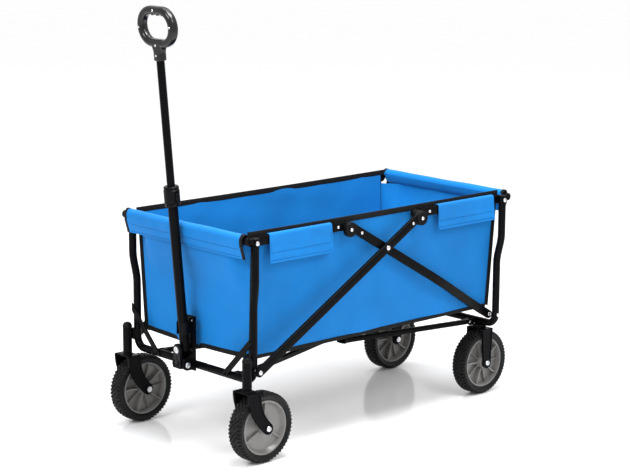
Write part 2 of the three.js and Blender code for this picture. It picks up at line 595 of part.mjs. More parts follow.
const tubInside = tubBlock(WALL, TUB_LOW_Z + WALL, TUB_TOP_Z + 9);
add('fabric_tub', cut(tubBlock(0, TUB_LOW_Z, TUB_TOP_Z), tubInside), FABRIC);
const [matX, matY] = [TUB_LOW_X - WALL - MAT_GAP, TUB_LOW_Y - WALL - MAT_GAP];
const matZ = TUB_LOW_Z + WALL + GAP;
add('floor_mat', block([-matX, -matY, matZ], [matX, matY, matZ + MAT_THICK]), PAD);

export default cart;
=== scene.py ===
# Folding beach cart: the visible pieces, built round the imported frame. Shapes are drawn in millimetres in
# the cart's own frame (+X right, +Y to the rear, +Z up, y = 0 at the scissor crossing), and make() turns them
# to metres.
import json
from math import atan2, cos, degrees, pi, radians, sin, sqrt, tan

import bmesh
import bpy
from mathutils import Matrix, Vector


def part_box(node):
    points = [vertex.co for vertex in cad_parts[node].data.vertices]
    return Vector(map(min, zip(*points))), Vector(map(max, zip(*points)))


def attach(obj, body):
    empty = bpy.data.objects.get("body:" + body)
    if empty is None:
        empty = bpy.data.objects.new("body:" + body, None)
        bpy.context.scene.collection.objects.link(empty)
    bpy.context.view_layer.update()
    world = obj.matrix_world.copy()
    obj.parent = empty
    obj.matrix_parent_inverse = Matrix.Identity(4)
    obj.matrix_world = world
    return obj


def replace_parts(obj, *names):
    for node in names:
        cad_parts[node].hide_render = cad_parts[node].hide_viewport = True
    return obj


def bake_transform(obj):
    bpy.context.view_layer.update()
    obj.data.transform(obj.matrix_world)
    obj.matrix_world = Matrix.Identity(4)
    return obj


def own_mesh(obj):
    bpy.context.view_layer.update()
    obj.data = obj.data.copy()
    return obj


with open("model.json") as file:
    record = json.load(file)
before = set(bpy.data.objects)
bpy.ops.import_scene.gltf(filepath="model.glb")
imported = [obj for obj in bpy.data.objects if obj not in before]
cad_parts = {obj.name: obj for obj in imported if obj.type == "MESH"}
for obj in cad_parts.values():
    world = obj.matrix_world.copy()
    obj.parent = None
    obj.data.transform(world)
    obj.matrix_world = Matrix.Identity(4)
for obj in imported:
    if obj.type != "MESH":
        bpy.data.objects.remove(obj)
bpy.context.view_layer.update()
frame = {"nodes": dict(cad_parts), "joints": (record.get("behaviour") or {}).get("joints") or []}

MM = 0.001
SIDES = (("left", -1), ("right", 1))
ENDS = (("front", -1), ("rear", 1))


def cad_size(node):
    low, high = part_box(node)
    return (high - low) / MM


def cad_middle(node):
    low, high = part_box(node)
    return (low + high) / (2 * MM)


SHIFT = cad_middle("crossing_rivet_left").y
JOINT = {j["name"]: j for j in frame["joints"]}


def joint_place(name):
    """A joint's point in the cart's own frame, in millimetres."""
    place = Vector(JOINT[name]["pos_m"]) / MM
    place.y -= SHIFT
    return place


# ---- sizes ----
TUBE_R = 10
POST_X = cad_size("front_top_bar").x / 2 - 8
POST_LOW_X = 229
POST_Y = 440.6
POST_LOW_Y = 436.5
POST_TOP_Z = 561
BEND_TOP_Z = 455
BEND_LOW_Z = 375
CORNER_R = 28
CROSSBAR_Z = 203
TOP_BAR_Y = POST_Y + 2 * TUBE_R + 2
TOP_BAR_Z = cad_middle("front_top_bar").z

TOP_PIVOT_Z = joint_place("fold_front_rails").z
LOW_PIVOT_Z = joint_place("fold").z
LOW_PIVOT_Y = -joint_place("fold").y
PIVOT_SPAN = POST_Y + LOW_PIVOT_Y
RISE = TOP_PIVOT_Z - LOW_PIVOT_Z
RAIL = PIVOT_SPAN ** 2 / (2 * (PIVOT_SPAN + RISE))
SLOPE = atan2(RISE, PIVOT_SPAN - RAIL)
CROSS_Z = LOW_PIVOT_Z + LOW_PIVOT_Y * tan(SLOPE)
BAR_THICK = 10
BAR_TALL = 23
OUTER_X = 245.6
INNER_X = 234.8
INNER_LOW_X = 206
CRANK_LOW = 15
CRANK_TOP = 300
RAIL_X = cad_middle("front_rail_right").x
HINGE_Y = POST_Y - RAIL
HINGE_CLEAR = 17
DISC_R = 19
DISC_DROP = 9  # a hinge disc hangs this far below the rail's middle
DIAGONAL_RIVET = {"front": 44, "rear": 37}  # from the hinge, along the diagonal
RAIL_RIVET = {"front": 34, "rear": 50}  # from the hinge, along the rail

LINK_Y = -joint_place("fold_front_floor").y
LINK_Z = joint_place("fold_front_floor").z
LUG_X = 150
LUG_HALF_W = 9
LINK_BAR = 13
LINK_RISE = 1.5  # the floor bars stand this far above their pivots
LINK_TIP_X = {"front": 45, "rear": 85}

WHEEL_R = joint_place("rear_wheel_spin_left").z
TYRE_W = cad_size("rear_tyre_left").x
RIM_R = 69
HUB_R = 17
CASTER_X = joint_place("caster_swivel_right").x
STEM_Y = joint_place("caster_swivel_right").y
CASTER_AXLE_Y = joint_place("front_wheel_spin_right").y
REAR_WHEEL_X = joint_place("rear_wheel_spin_right").x
REAR_AXLE_Y = joint_place("rear_wheel_spin_right").y
FORK_TOP_Z = 186
FORK_HALF = 27
FORK_THICK = 4
BLADE_TOP = 18
BLADE_LOW = 13
BLADE_SWEEP = 2.3  # the power that bends a blade's middle line
SLEEVE_LOW_Z = 190
SLEEVE_TOP_Z = 258

HANDLE_LEAN = atan2(76.5, 815)
HANDLE_FOOT = Vector((0, -464.5, 242))
LOWER_TUBE_R = 12.5
UPPER_TUBE_R = 10
LOWER_TUBE_TOP = 400
UPPER_TUBE_LOW = 326
UPPER_TUBE_TOP = 758
COLLAR_LOW = 373
COLLAR_TOP = 424
COLLAR_R = 20
RING_S = 817
RING_HALF_W = 69
RING_HALF_H = 50
RING_SECTION = 20.5
GRIP_THICK = 25
NECK_LOW = 735
PITCH = joint_place("handle_pitch")

TUB_X = cad_size("fabric_tub").x / 2
TUB_Y = cad_size("fabric_tub").y / 2
TUB_LOW_X = TUB_X - 18
TUB_LOW_Y = TUB_Y - 7
TUB_LOW_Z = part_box("fabric_tub")[0].z / MM
TUB_TOP_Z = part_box("fabric_tub")[1].z / MM
CLOTH = 1.4
SEAM_Z = 535
HEM_Z = 511
SLEEVE_HALF_X = POST_X - 15
SLEEVE_OFFSET = 4
CREST = 27  # the sleeve profile's points before its outside begins
MAT_GAP = 1.2  # each leaf of the mat starts this far from the middle
PUFF_LIMIT = 1.5
CHANNEL_DEPTH = 2.2
PROUD = CLOTH / 2 + 0.1  # stitches start this far outside the middle of the cloth
FLAPS = {"front": (-386, -180, 492), "rear": (203, 415, 499)}  # near and far ends, and the hem's height


# ---- materials ----
def node(tree, kind, inputs=None, **props):
    """A shader node whose inputs are numbers, colours or other nodes' outputs."""
    made = tree.nodes.new(kind)
    for key, value in props.items():
        setattr(made, key, value)
    for key, value in (inputs or {}).items():
        if isinstance(value, bpy.types.NodeSocket):
            tree.links.new(value, made.inputs[key])
        else:
            made.inputs[key].default_value = value
    return made


def math(tree, operation, a, b=0.0):
    return node(tree, "ShaderNodeMath", {0: a, 1: b}, operation=operation).outputs[0]


def surface(name, colour, roughness, metallic=0.0, **constants):
    """A Principled material; constants are set on the shader's own sockets."""
    material = bpy.data.materials.new(name)
    material.use_nodes = True
    material.diffuse_color = (*colour, 1)
    shader = material.node_tree.nodes["Principled BSDF"]
    shader.inputs["Base Color"].default_value = (*colour, 1)
    shader.inputs["Roughness"].default_value = roughness
    shader.inputs["Metallic"].default_value = metallic
    for key, value in constants.items():
        shader.inputs[key.replace("_", " ")].default_value = value
    return material, material.node_tree, shader


def place_of(tree):
    return node(tree, "ShaderNodeTexCoord").outputs["Object"]


def noise_of(tree, scale, detail=3.0, vector=None):
    made = node(tree, "ShaderNodeTexNoise", {"Scale": scale, "Detail": detail})
    tree.links.new(vector or place_of(tree), made.inputs["Vector"])
    return made.outputs["Fac"]


def spread(tree, value, low, high):
    """A 0..1 value carried to low..high."""
    made = node(tree, "ShaderNodeMapRange", {"Value": value, "To Min": low, "To Max": high})
    made.inputs["From Min"].default_value = 0.3
    made.inputs["From Max"].default_value = 0.7
    return made.outputs["Result"]


def tinted(tree, value, dark, light):
    """A colour between dark and light by a 0..1 value."""
    mix = node(tree, "ShaderNodeMix", data_type="RGBA")
    tree.links.new(value, mix.inputs["Factor"])
    mix.inputs["A"].default_value = (*dark, 1)
    mix.inputs["B"].default_value = (*light, 1)
    return mix.outputs["Result"]


def bumped(tree, shader, height, distance, strength=1.0, then=None):
    made = node(tree, "ShaderNodeBump", {"Strength": strength, "Distance": distance, "Height": height})
    if then:
        tree.links.new(then, made.inputs["Normal"])
    tree.links.new(made.outputs["Normal"], shader.inputs["Normal"])
    return made.outputs["Normal"]


def scaled(colour, share):
    return tuple(c * share for c in colour)


def powder_coat():
    """Satin black paint: fine orange peel and a little dust."""
    base = (0.0019, 0.0020, 0.0025)
    material, tree, shader = surface("powder_coat", base, 0.3, Specular_IOR_Level=0.045)
    dusty = tinted(tree, noise_of(tree, 14), scaled(base, 0.7), scaled(base, 1.7))
    tree.links.new(dusty, shader.inputs["Base Color"])
    tree.links.new(spread(tree, noise_of(tree, 90), 0.22, 0.34), shader.inputs["Roughness"])
    bumped(tree, shader, noise_of(tree, 900, 2), 0.00008, 0.5)
    return material


def moulded_plastic(name, base, roughness, gloss, grain=1500):
    """Injection moulding: spark-eroded grain and faint flow variation."""
    material, tree, shader = surface(name, base, roughness, Specular_IOR_Level=gloss)
    flow = tinted(tree, noise_of(tree, 25), scaled(base, 0.85), scaled(base, 1.2))
    tree.links.new(flow, shader.inputs["Base Color"])
    low, high = roughness - 0.07, roughness + 0.08
    tree.links.new(spread(tree, noise_of(tree, 240), low, high), shader.inputs["Roughness"])
    bumped(tree, shader, noise_of(tree, grain, 2), 0.00006, 0.45)
    return material


def zinc_plate():
    """Bright plated steel with faint turning marks."""
    base = (0.66, 0.67, 0.69)
    material, tree, shader = surface("zinc_plate", base, 0.26, 1.0)
    cloudy = tinted(tree, noise_of(tree, 300), scaled(base, 0.82), scaled(base, 1.08))
    tree.links.new(cloudy, shader.inputs["Base Color"])
    tree.links.new(spread(tree, noise_of(tree, 800), 0.2, 0.36), shader.inputs["Roughness"])
    bumped(tree, shader, noise_of(tree, 2200, 1), 0.00003, 0.4)
    return material


def tyre_rubber():
    """Matte rubber with a mould grain and uneven dust."""
    base = (0.0034, 0.0034, 0.0040)
    material, tree, shader = surface("tyre_rubber", base, 0.42, Specular_IOR_Level=0.17)
    dust = tinted(tree, noise_of(tree, 60), scaled(base, 0.6), scaled(base, 1.6))
    tree.links.new(dust, shader.inputs["Base Color"])
    tree.links.new(spread(tree, noise_of(tree, 200), 0.38, 0.58), shader.inputs["Roughness"])
    bumped(tree, shader, noise_of(tree, 1300, 2), 0.00012, 0.5)
    return material


def weave_height(tree, pitch):
    """Plain weave: threads along the panel and up it; on a floor the second set runs across."""
    place = node(tree, "ShaderNodeSeparateXYZ", {0: place_of(tree)})
    x, y, z = (place.outputs[i] for i in range(3))
    normal = node(tree, "ShaderNodeNewGeometry").outputs["True Normal"]
    level = math(tree, "ABSOLUTE", node(tree, "ShaderNodeSeparateXYZ", {0: normal}).outputs[2])
    flat = math(tree, "GREATER_THAN", level, 0.7)
    along = math(tree, "ADD", x, y)
    across = math(tree, "MULTIPLY", math(tree, "SUBTRACT", x, y), flat)
    upright = math(tree, "MULTIPLY", z, math(tree, "SUBTRACT", 1.0, flat))
    warp = math(tree, "SINE", math(tree, "MULTIPLY", along, 2 * pi / pitch))
    weft = math(tree, "SINE", math(tree, "MULTIPLY", math(tree, "ADD", across, upright), 2 * pi / pitch))
    return math(tree, "MULTIPLY", warp, weft)


def woven(name, base, pitch, roughness, sheen, depth=0.00012):
    """Woven cloth: threads, slubs, soft creases and the slight shade changes of dyed polyester."""
    material, tree, shader = surface(name, base, roughness, Specular_IOR_Level=0.14,
                                     Sheen_Weight=sheen, Sheen_Roughness=0.45)
    threads = weave_height(tree, pitch)
    patches = math(tree, "ADD", noise_of(tree, 5, 4), math(tree, "MULTIPLY", threads, 0.1))
    slubs = math(tree, "ADD", patches, math(tree, "MULTIPLY", noise_of(tree, 420, 2), 0.25))
    tone = tinted(tree, spread(tree, slubs, -0.1, 0.85), scaled(base, 0.86), scaled(base, 1.12))
    tree.links.new(tone, shader.inputs["Base Color"])
    tree.links.new(spread(tree, noise_of(tree, 35), roughness - 0.06, roughness + 0.06),
                   shader.inputs["Roughness"])
    creases = noise_of(tree, 16, 5)
    soft = bumped(tree, shader, creases, 0.004, 0.22)
    bumped(tree, shader, threads, depth, 0.6, soft)
    return material


STEEL = powder_coat()
PLASTIC = moulded_plastic("black_plastic", (0.0028, 0.0029, 0.0034), 0.3, 0.08)
BRIGHT = zinc_plate()
RUBBER = tyre_rubber()
HUB_GREY = moulded_plastic("hub_grey_plastic", (0.165, 0.16, 0.153), 0.32, 0.5, 900)
GRIP_BLACK = moulded_plastic("grip_black_plastic", (0.0035, 0.0036, 0.0042), 0.17, 0.34)
BLUE = woven("blue_polyester", (0.0022, 0.152, 0.455), 0.0009, 0.7, 0.06)
BINDING = woven("black_binding", (0.0030, 0.0031, 0.0037), 0.0016, 0.74, 0.03, 0.0003)
MAT = woven("mat_cover", (0.012, 0.0125, 0.0145), 0.0012, 0.8, 0.06, 0.0002)
THREAD = woven("blue_thread", (0.001, 0.03, 0.13), 0.0006, 0.6, 0.05)


# ---- shapes: each is (points, faces), in millimetres ----
def combined(*shapes):
    points, faces = [], []
    for more_points, more_faces in shapes:
        start = len(points)
        points += [Vector(p) for p in more_points]
        faces += [tuple(i + start for i in face) for face in more_faces]
    return points, faces


def moved(shape, matrix):
    return [matrix @ Vector(p) for p in shape[0]], shape[1]


def shifted(shape, x=0, y=0, z=0):
    return moved(shape, Matrix.Translation((x, y, z)))


def onto(origin, direction):
    """A frame at origin whose Z runs along direction."""
    turn = Vector(direction).normalized().to_track_quat("Z", "Y")
    return Matrix.Translation(origin) @ turn.to_matrix().to_4x4()


def circle(radius, count=24):
    return [(radius * cos(2 * pi * i / count), radius * sin(2 * pi * i / count)) for i in range(count)]


def rounded_rect(width, height, radius, count=4):
    """A rectangle's outline with round corners."""
    points = []
    for corner, (sx, sy) in enumerate(((1, 1), (-1, 1), (-1, -1), (1, -1))):
        for i in range(count + 1):
            angle = pi / 2 * (corner + i / count)
            points.append((sx * (width / 2 - radius) + radius * cos(angle),
                           sy * (height / 2 - radius) + radius * sin(angle)))
    return points


def tangents(path, closed):
    count = len(path)
    found = []
    for i in range(count):
        after = path[(i + 1) % count] if closed else path[min(i + 1, count - 1)]
        before = path[i - 1] if closed else path[max(i - 1, 0)]
        found.append((after - before).normalized())
    return found


def sweep(path, section, across=None, closed=False, scales=None):
    """A section carried along a path. across fixes its first axis; scales shrinks it at each point."""
    path = [Vector(p) for p in path]
    directions = tangents(path, closed)
    side = Vector(across) if across else directions[0].orthogonal()
    points, faces = [], []
    for i, (place, direction) in enumerate(zip(path, directions)):
        if across:
            side = Vector(across)
        side = (side - direction * side.dot(direction)).normalized()
        up = direction.cross(side)
        grow = scales[i] if scales else (1, 1)
        points += [place + side * (a * grow[0]) + up * (b * grow[1]) for a, b in section]
    size, rings = len(section), len(path)
    for i in range(rings if closed else rings - 1):
        here, there = i * size, (i + 1) % rings * size
        faces += [(here + j, here + (j + 1) % size, there + (j + 1) % size, there + j) for j in range(size)]
    if not closed:
        faces += [tuple(range(size))[::-1], tuple(range((rings - 1) * size, rings * size))]
    return points, faces


def lathe(profile, count=48, loop=False):
    """[radius, height] points turned about Z; a profile that isn't a loop starts and ends on the axis."""
    points, rows, faces = [], [], []
    for radius, height in profile:
        turns = 1 if radius < 1e-6 else count
        rows.append((len(points), turns))
        for i in range(turns):
            angle = 2 * pi * i / count
            points.append((radius * cos(angle), radius * sin(angle), height))
    pairs = list(zip(rows, rows[1:] + rows[:1])) if loop else list(zip(rows, rows[1:]))
    for (a, a_turns), (b, b_turns) in pairs:
        for i in range(count):
            j = (i + 1) % count
            corners = [a + i % a_turns, a + j % a_turns, b + j % b_turns, b + i % b_turns]
            face = tuple(dict.fromkeys(corners))
            if len(face) > 2:
                faces.append(face)
    return points, faces


def turned(profile, place, direction, count=28, loop=False):
    """A lathed shape stood on a place, its axis along direction."""
    return moved(lathe(profile, count, loop), onto(place, direction))


def ring(inner, outer, low, high):
    """The looped profile of a washer or a tube."""
    return [(inner, low), (outer, low), (outer, high), (inner, high)]


def plate(outline, low, high, plane="yz"):
    """An outline given thickness along the axis that its plane leaves out."""
    def put(a, b, depth):
        return {"yz": (depth, a, b), "xz": (a, depth, b), "xy": (a, b, depth)}[plane]
    count = len(outline)
    points = [put(a, b, low) for a, b in outline] + [put(a, b, high) for a, b in outline]
    faces = [tuple(range(count))[::-1], tuple(range(count, 2 * count))]
    faces += [(i, (i + 1) % count, (i + 1) % count + count, i + count) for i in range(count)]
    return points, faces


def block(low, high):
    return plate([(low[0], low[1]), (high[0], low[1]), (high[0], high[1]), (low[0], high[1])],
                 low[2], high[2], "xy")


def rod(start, end, radius, count=24):
    return sweep([start, end], circle(radius, count))


def arc(centre, radius, start, end, count=12):
    """Points on an arc, angles in degrees."""
    angles = [radians(start + (end - start) * i / count) for i in range(count + 1)]
    return [(centre[0] + radius * cos(a), centre[1] + radius * sin(a)) for a in angles]


def smooth(t):
    t = min(max(t, 0.0), 1.0)
    return t * t * (3 - 2 * t)


def mix(a, b, share):
    return a + (b - a) * share


def spline(keys, count):
    """Points on a smooth curve through the keys."""
    keys = [Vector(k) for k in keys]
    ends = [2 * keys[0] - keys[1], *keys, 2 * keys[-1] - keys[-2]]
    points = []
    for i in range(len(keys) - 1):
        a, b, c, d = ends[i:i + 4]
        for j in range(count):
            t = j / count
            points.append(0.5 * (2 * b + (c - a) * t + (2 * a - 5 * b + 4 * c - d) * t * t
                                 + (3 * b - a - 3 * c + d) * t ** 3))
    return points + [keys[-1]]


def at_share(points, share):
    """The place at a share of the way through a list of points, and the number of the point before it."""
    index = share * (len(points) - 1)
    before = min(int(index), len(points) - 2)
    return points[before].lerp(points[before + 1], index - before), before


def grid(across, along, place):
    """An open sheet: place(u, v) gives the point at shares u and v."""
    points = [place(i / across, j / along) for j in range(along + 1) for i in range(across + 1)]
    wide = across + 1
    faces = [(j * wide + i, j * wide + i + 1, (j + 1) * wide + i + 1, (j + 1) * wide + i)
             for j in range(along) for i in range(across)]
    return points, faces


# ---- pieces ----
def make(name, shape, material, body, *nodes, bevel=0.0, segments=2, hard=38.0, ride=True):
    """A piece from a shape: metres, smooth shading, sharp edges past `hard` degrees, an optional bevel."""
    to_frame = Matrix.Scale(MM, 4) @ Matrix.Translation((0, SHIFT, 0))
    mesh = bpy.data.meshes.new(name)
    mesh.from_pydata([tuple(to_frame @ Vector(p)) for p in shape[0]], [], shape[1])
    tidy = bmesh.new()
    tidy.from_mesh(mesh)
    bmesh.ops.recalc_face_normals(tidy, faces=tidy.faces)
    tidy.to_mesh(mesh)
    tidy.free()
    mesh.shade_smooth()
    mesh.set_sharp_from_angle(angle=radians(hard))
    mesh.materials.append(material)
    piece = bpy.data.objects.new(name, mesh)
    bpy.context.scene.collection.objects.link(piece)
    if bevel:
        round_edges(piece, bevel, segments)
    if ride:
        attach(piece, body)
    if nodes:
        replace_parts(piece, *nodes)
    return piece


def round_edges(piece, width, segments=2):
    made = piece.modifiers.new("edges", "BEVEL")
    made.width = width * MM
    made.segments = segments
    made.limit_method = "ANGLE"
    made.angle_limit = radians(32)
    made.use_clamp_overlap = True
    made.harden_normals = False


def applied(piece):
    """The piece with its modifiers made part of its mesh."""
    graph = bpy.context.evaluated_depsgraph_get()
    mesh = bpy.data.meshes.new_from_object(piece.evaluated_get(graph))
    piece.modifiers.clear()
    piece.data = mesh
    return piece


def carve(piece, *cutters):
    """Cuts closed shapes out of a piece."""
    for i, shape in enumerate(cutters):
        tool = make(f"{piece.name}_cutter_{i}", shape, piece.data.materials[0], None, ride=False)
        made = piece.modifiers.new("cut", "BOOLEAN")
        made.operation = "DIFFERENCE"
        made.solver = "EXACT"
        made.object = tool
        bpy.context.view_layer.update()
        graph = bpy.context.evaluated_depsgraph_get()
        piece.data = bpy.data.meshes.new_from_object(piece.evaluated_get(graph))
        piece.modifiers.clear()
        bpy.data.objects.remove(tool)
    return piece


def dome_head(radius, height):
    """A rivet head standing on Z = 0: a thin rim, a crown and a small centre dimple."""
    crown = [(radius * cos(a), height * (0.28 + 0.72 * sin(a))) for a in (pi / 2 * i / 7 for i in range(7))]
    return [(0, -1.0), (radius * 0.96, -1.0), (radius, 0), *crown, (radius * 0.18, height * 0.99),
            (0, height * 0.88)]


def rivet(name, place, direction, body, radius=5.2, height=2.8):
    return make(name, turned(dome_head(radius, height), place, direction), BRIGHT, body)


def cross_screw(name, place, direction, body, radius=4.0, material=BRIGHT, nodes=()):
    """A pan-head screw with a cross recess."""
    height = radius * 0.55
    head = [(0, -1.2), (radius, -1.2), (radius, height * 0.35), (radius * 0.86, height * 0.8),
            (radius * 0.55, height), (0, height * 1.04)]
    piece = make(name, turned(head, place, direction), material, body, *nodes)
    slot = radius * 0.17
    arms = [block((-slot, -radius * 0.55, height * 0.3), (slot, radius * 0.55, height * 2)),
            block((-radius * 0.55, -slot, height * 0.3), (radius * 0.55, slot, height * 2))]
    return carve(piece, *[moved(arm, onto(place, direction)) for arm in arms])


def hex_head(radius, height):
    """A hexagon nut or head standing on Z = 0, with a turned washer face."""
    body = plate(circle(radius, 6), 0.6, height, "xy")
    washer = lathe([(0, 0), (radius * 0.86, 0), (radius * 0.86, 0.7), (0, 0.7)], 24)
    end = lathe([(0, height), (radius * 0.46, height), (radius * 0.4, height + 1.6), (0, height + 1.6)], 20)
    return combined(body, washer, end)


# ---- camera, light and floor ----
EYE = Vector((3.7178, -3.4477, 1.5014))
EYE_TURN = radians(47.21)
EYE_DOWN = radians(11.47)
EYE_ROLL = radians(0.32)


def camera():
    """The viewing angle: right of the handle end, a little above the cart."""
    data = bpy.data.cameras.new("camera")
    data.sensor_width = 36
    data.lens = 112.35
    data.clip_end = 60
    eye = bpy.data.objects.new("camera", data)
    forward = Vector((-sin(EYE_TURN) * cos(EYE_DOWN), cos(EYE_TURN) * cos(EYE_DOWN), -sin(EYE_DOWN)))
    level = Vector((cos(EYE_TURN), sin(EYE_TURN), 0))
    up = level.cross(forward)
    right = level * cos(EYE_ROLL) + up * sin(EYE_ROLL)
    up = right.cross(forward)
    turn = Matrix((right, up, -forward)).transposed().to_4x4()
    eye.matrix_world = Matrix.Translation(EYE) @ turn
    bpy.context.scene.collection.objects.link(eye)
    bpy.context.scene.camera = eye


def soft_light(name, place, size, power):
    data = bpy.data.lights.new(name, "AREA")
    data.shape = "RECTANGLE"
    data.size, data.size_y = size
    data.energy = power
    light = bpy.data.objects.new(name, data)
    light.location = place
    light.rotation_euler = (Vector((0, 0, 0.4)) - Vector(place)).to_track_quat("-Z", "Y").to_euler()
    light.visible_camera = False
    bpy.context.scene.collection.objects.link(light)


def studio():
    """A white room: pale floor, even sky, and four soft boxes."""
    floor = bpy.data.meshes.new("studio_floor")
    reach = 70
    floor.from_pydata([(-reach, -reach, 0), (reach, -reach, 0), (reach, reach, 0), (-reach, reach, 0)], [],
                      [(0, 1, 2, 3)])
    material, tree, shader = surface("studio_white", (0.95, 0.95, 0.952), 0.12, Specular_IOR_Level=0.4)
    tree.links.new(spread(tree, noise_of(tree, 3), 0.1, 0.15), shader.inputs["Roughness"])
    floor.materials.append(material)
    piece = bpy.data.objects.new("studio_floor", floor)
    bpy.context.scene.collection.objects.link(piece)
    world = bpy.data.worlds.new("studio_sky")
    world.use_nodes = True
    world.node_tree.nodes["Background"].inputs["Color"].default_value = (1, 1, 1, 1)
    world.node_tree.nodes["Background"].inputs["Strength"].default_value = 1.0
    bpy.context.scene.world = world
    bpy.context.scene.view_settings.view_transform = "Standard"
    soft_light("key", (0.4, -3.4, 3.0), (1.5, 1.1), 80)
    soft_light("side", (3.1, 0.4, 3.2), (1.5, 1.1), 48)
    soft_light("top", (-0.6, 0.6, 4.2), (2.4, 2.4), 50)
    soft_light("inside", (0.45, -0.25, 2.1), (0.8, 0.6), 38)


# ---- end frames ----
def end_path(side):
    """The bent tube's centre line: post, offset bend, corner and crossbar, then the same mirrored."""
    bends = 16
    half = [(POST_X, side * POST_Y, POST_TOP_Z - 2)]
    for i in range(bends + 1):
        t = i / bends
        half.append((mix(POST_X, POST_LOW_X, smooth(t)), side * mix(POST_Y, POST_LOW_Y, smooth(t)),
                     mix(BEND_TOP_Z, BEND_LOW_Z, t)))
    corner = arc((POST_LOW_X - CORNER_R, CROSSBAR_Z + CORNER_R), CORNER_R, 0, -90, 12)
    half += [(x, side * POST_LOW_Y, z) for x, z in corner]
    return half + [(-x, y, z) for x, y, z in reversed(half)]


def plug(place, direction, radius):
    """A plastic plug in a tube's end: a rim and a low dome."""
    return turned([(0, -4), (radius - 1.4, -4), (radius - 1.4, 0), (radius, 0), (radius, 1.6),
                   (radius * 0.8, 3), (radius * 0.45, 3.8), (0, 4)], place, direction)


def end_frame(end, side):
    """A bent tube, its top bar on two saddles, and their plugs, lugs and rivets."""
    body = f"{end}_frame"
    make(f"{end}_end_tube", sweep(end_path(side), circle(TUBE_R, 28)), STEEL, body, f"{end}_end_frame")
    bar_y = side * TOP_BAR_Y
    bar = rod((-POST_X, bar_y, TOP_BAR_Z), (POST_X, bar_y, TOP_BAR_Z), TUBE_R, 28)
    inner = side * (POST_Y + TUBE_R + 0.3)
    saddles = [block((x - 8, min(inner, bar_y), TOP_BAR_Z - 7), (x + 8, max(inner, bar_y), TOP_BAR_Z + 6))
               for x in (-POST_X, POST_X)]
    make(f"{end}_top_tube", combined(bar, *saddles), STEEL, body, f"{end}_top_bar", bevel=1.0)
    for name, mirror in SIDES:
        top = (mirror * POST_X, side * POST_Y, POST_TOP_Z - 2)
        make(f"{end}_post_plug_{name}", plug(top, (0, 0, 1), TUBE_R), PLASTIC, body)
        make(f"{end}_top_tube_plug_{name}", plug((mirror * POST_X, bar_y, TOP_BAR_Z), (mirror, 0, 0), TUBE_R),
             PLASTIC, body)
        lug(end, name, mirror, side)
        out = mirror * (POST_LOW_X + TUBE_R - 0.6)
        rivet(f"{end}_low_post_rivet_{name}", (out, side * POST_LOW_Y, LOW_PIVOT_Z + 2), (mirror, 0, 0), body)
        out = mirror * (POST_X + TUBE_R - 0.6)
        rivet(f"{end}_top_post_rivet_{name}", (out, side * POST_Y, TOP_PIVOT_Z), (mirror, 0, 0), body, 5.6)


def lug(end, name, mirror, side):
    """A pressed clevis under the crossbar that carries a floor link, with its pin."""
    x = mirror * LUG_X
    back = side * (POST_LOW_Y - 8)
    near = side * LINK_Y
    nose = arc((near, LINK_Z), 9, 90, 270, 12) if side > 0 else arc((near, LINK_Z), 9, 90, -90, 12)
    outline = [(back, LINK_Z + 9), *nose, (back, LINK_Z - 9)]
    cheeks = [plate(outline, x + s * 8 - 1, x + s * 8 + 1) for s in (-1, 1)]
    web_near = side * (POST_LOW_Y - 8.5)
    web = block((x - LUG_HALF_W, min(back, web_near), LINK_Z - 9),
                (x + LUG_HALF_W, max(back, web_near), LINK_Z + 9))
    make(f"{end}_link_lug_{name}", combined(*cheeks, web), STEEL, f"{end}_frame", bevel=0.6)
    heads = [turned(dome_head(4.4, 2), (x + s * LUG_HALF_W, near, LINK_Z), (s, 0, 0), 20) for s in (-1, 1)]
    pin = combined(rod((x - LUG_HALF_W, near, LINK_Z), (x + LUG_HALF_W, near, LINK_Z), 2.4, 16), *heads)
    make(f"{end}_link_pin_{name}", pin, BRIGHT, f"{end}_frame")


def front_fittings():
    """Braces, caster sleeves with their caps, and the weld plates that join them to the posts."""
    for name, side in SIDES:
        front = -POST_LOW_Y - TUBE_R + 1.2
        outline = [(side * u, v) for u, v in ((237, 320), (237, 298), (140, 200.5), (121, 200.5), (124, 207))]
        make(f"front_brace_{name}", plate(outline, front - 4.3, front, "xz"), STEEL, "front_frame", bevel=1.4,
             segments=3)
        for place, (x, z) in (("high", (231, 305)), ("low", (136, 206))):
            cross_screw(f"front_brace_screw_{place}_{name}", (side * x, front - 4.3, z), (0, -1, 0),
                        "front_frame", 3.6, STEEL)
        x = side * abs(CASTER_X)
        sleeve = lathe([(8.5, SLEEVE_LOW_Z), (11.2, SLEEVE_LOW_Z), (12, SLEEVE_LOW_Z + 0.8),
                        (12, SLEEVE_TOP_Z - 0.8), (11.2, SLEEVE_TOP_Z), (8.5, SLEEVE_TOP_Z)], 40, True)
        make(f"caster_sleeve_{name}", shifted(sleeve, x, STEM_Y), STEEL, "front_frame")
        cap = lathe([(0, SLEEVE_TOP_Z + 0.2), (12.6, SLEEVE_TOP_Z + 0.2), (12.9, SLEEVE_TOP_Z + 1.2),
                     (12.9, SLEEVE_TOP_Z + 3.4), (12, SLEEVE_TOP_Z + 4.2), (11.6, SLEEVE_TOP_Z + 5),
                     (10.6, SLEEVE_TOP_Z + 8.6), (8.2, SLEEVE_TOP_Z + 11.3), (4.6, SLEEVE_TOP_Z + 13),
                     (0, SLEEVE_TOP_Z + 13.4)], 40)
        make(f"caster_sleeve_dome_{name}", shifted(cap, x, STEM_Y), PLASTIC, "front_frame",
             f"caster_sleeve_cap_{name}")
        near = side * (POST_LOW_X - 4)
        weld = block((min(near, x), STEM_Y + 10, 226), (max(near, x), -POST_LOW_Y - 3, 254))
        make(f"caster_sleeve_weld_{name}", weld, STEEL, "front_frame", bevel=2.0, segments=3)


# ---- side scissor ----
BAR_SECTION = rounded_rect(BAR_THICK, BAR_TALL, 2.6)


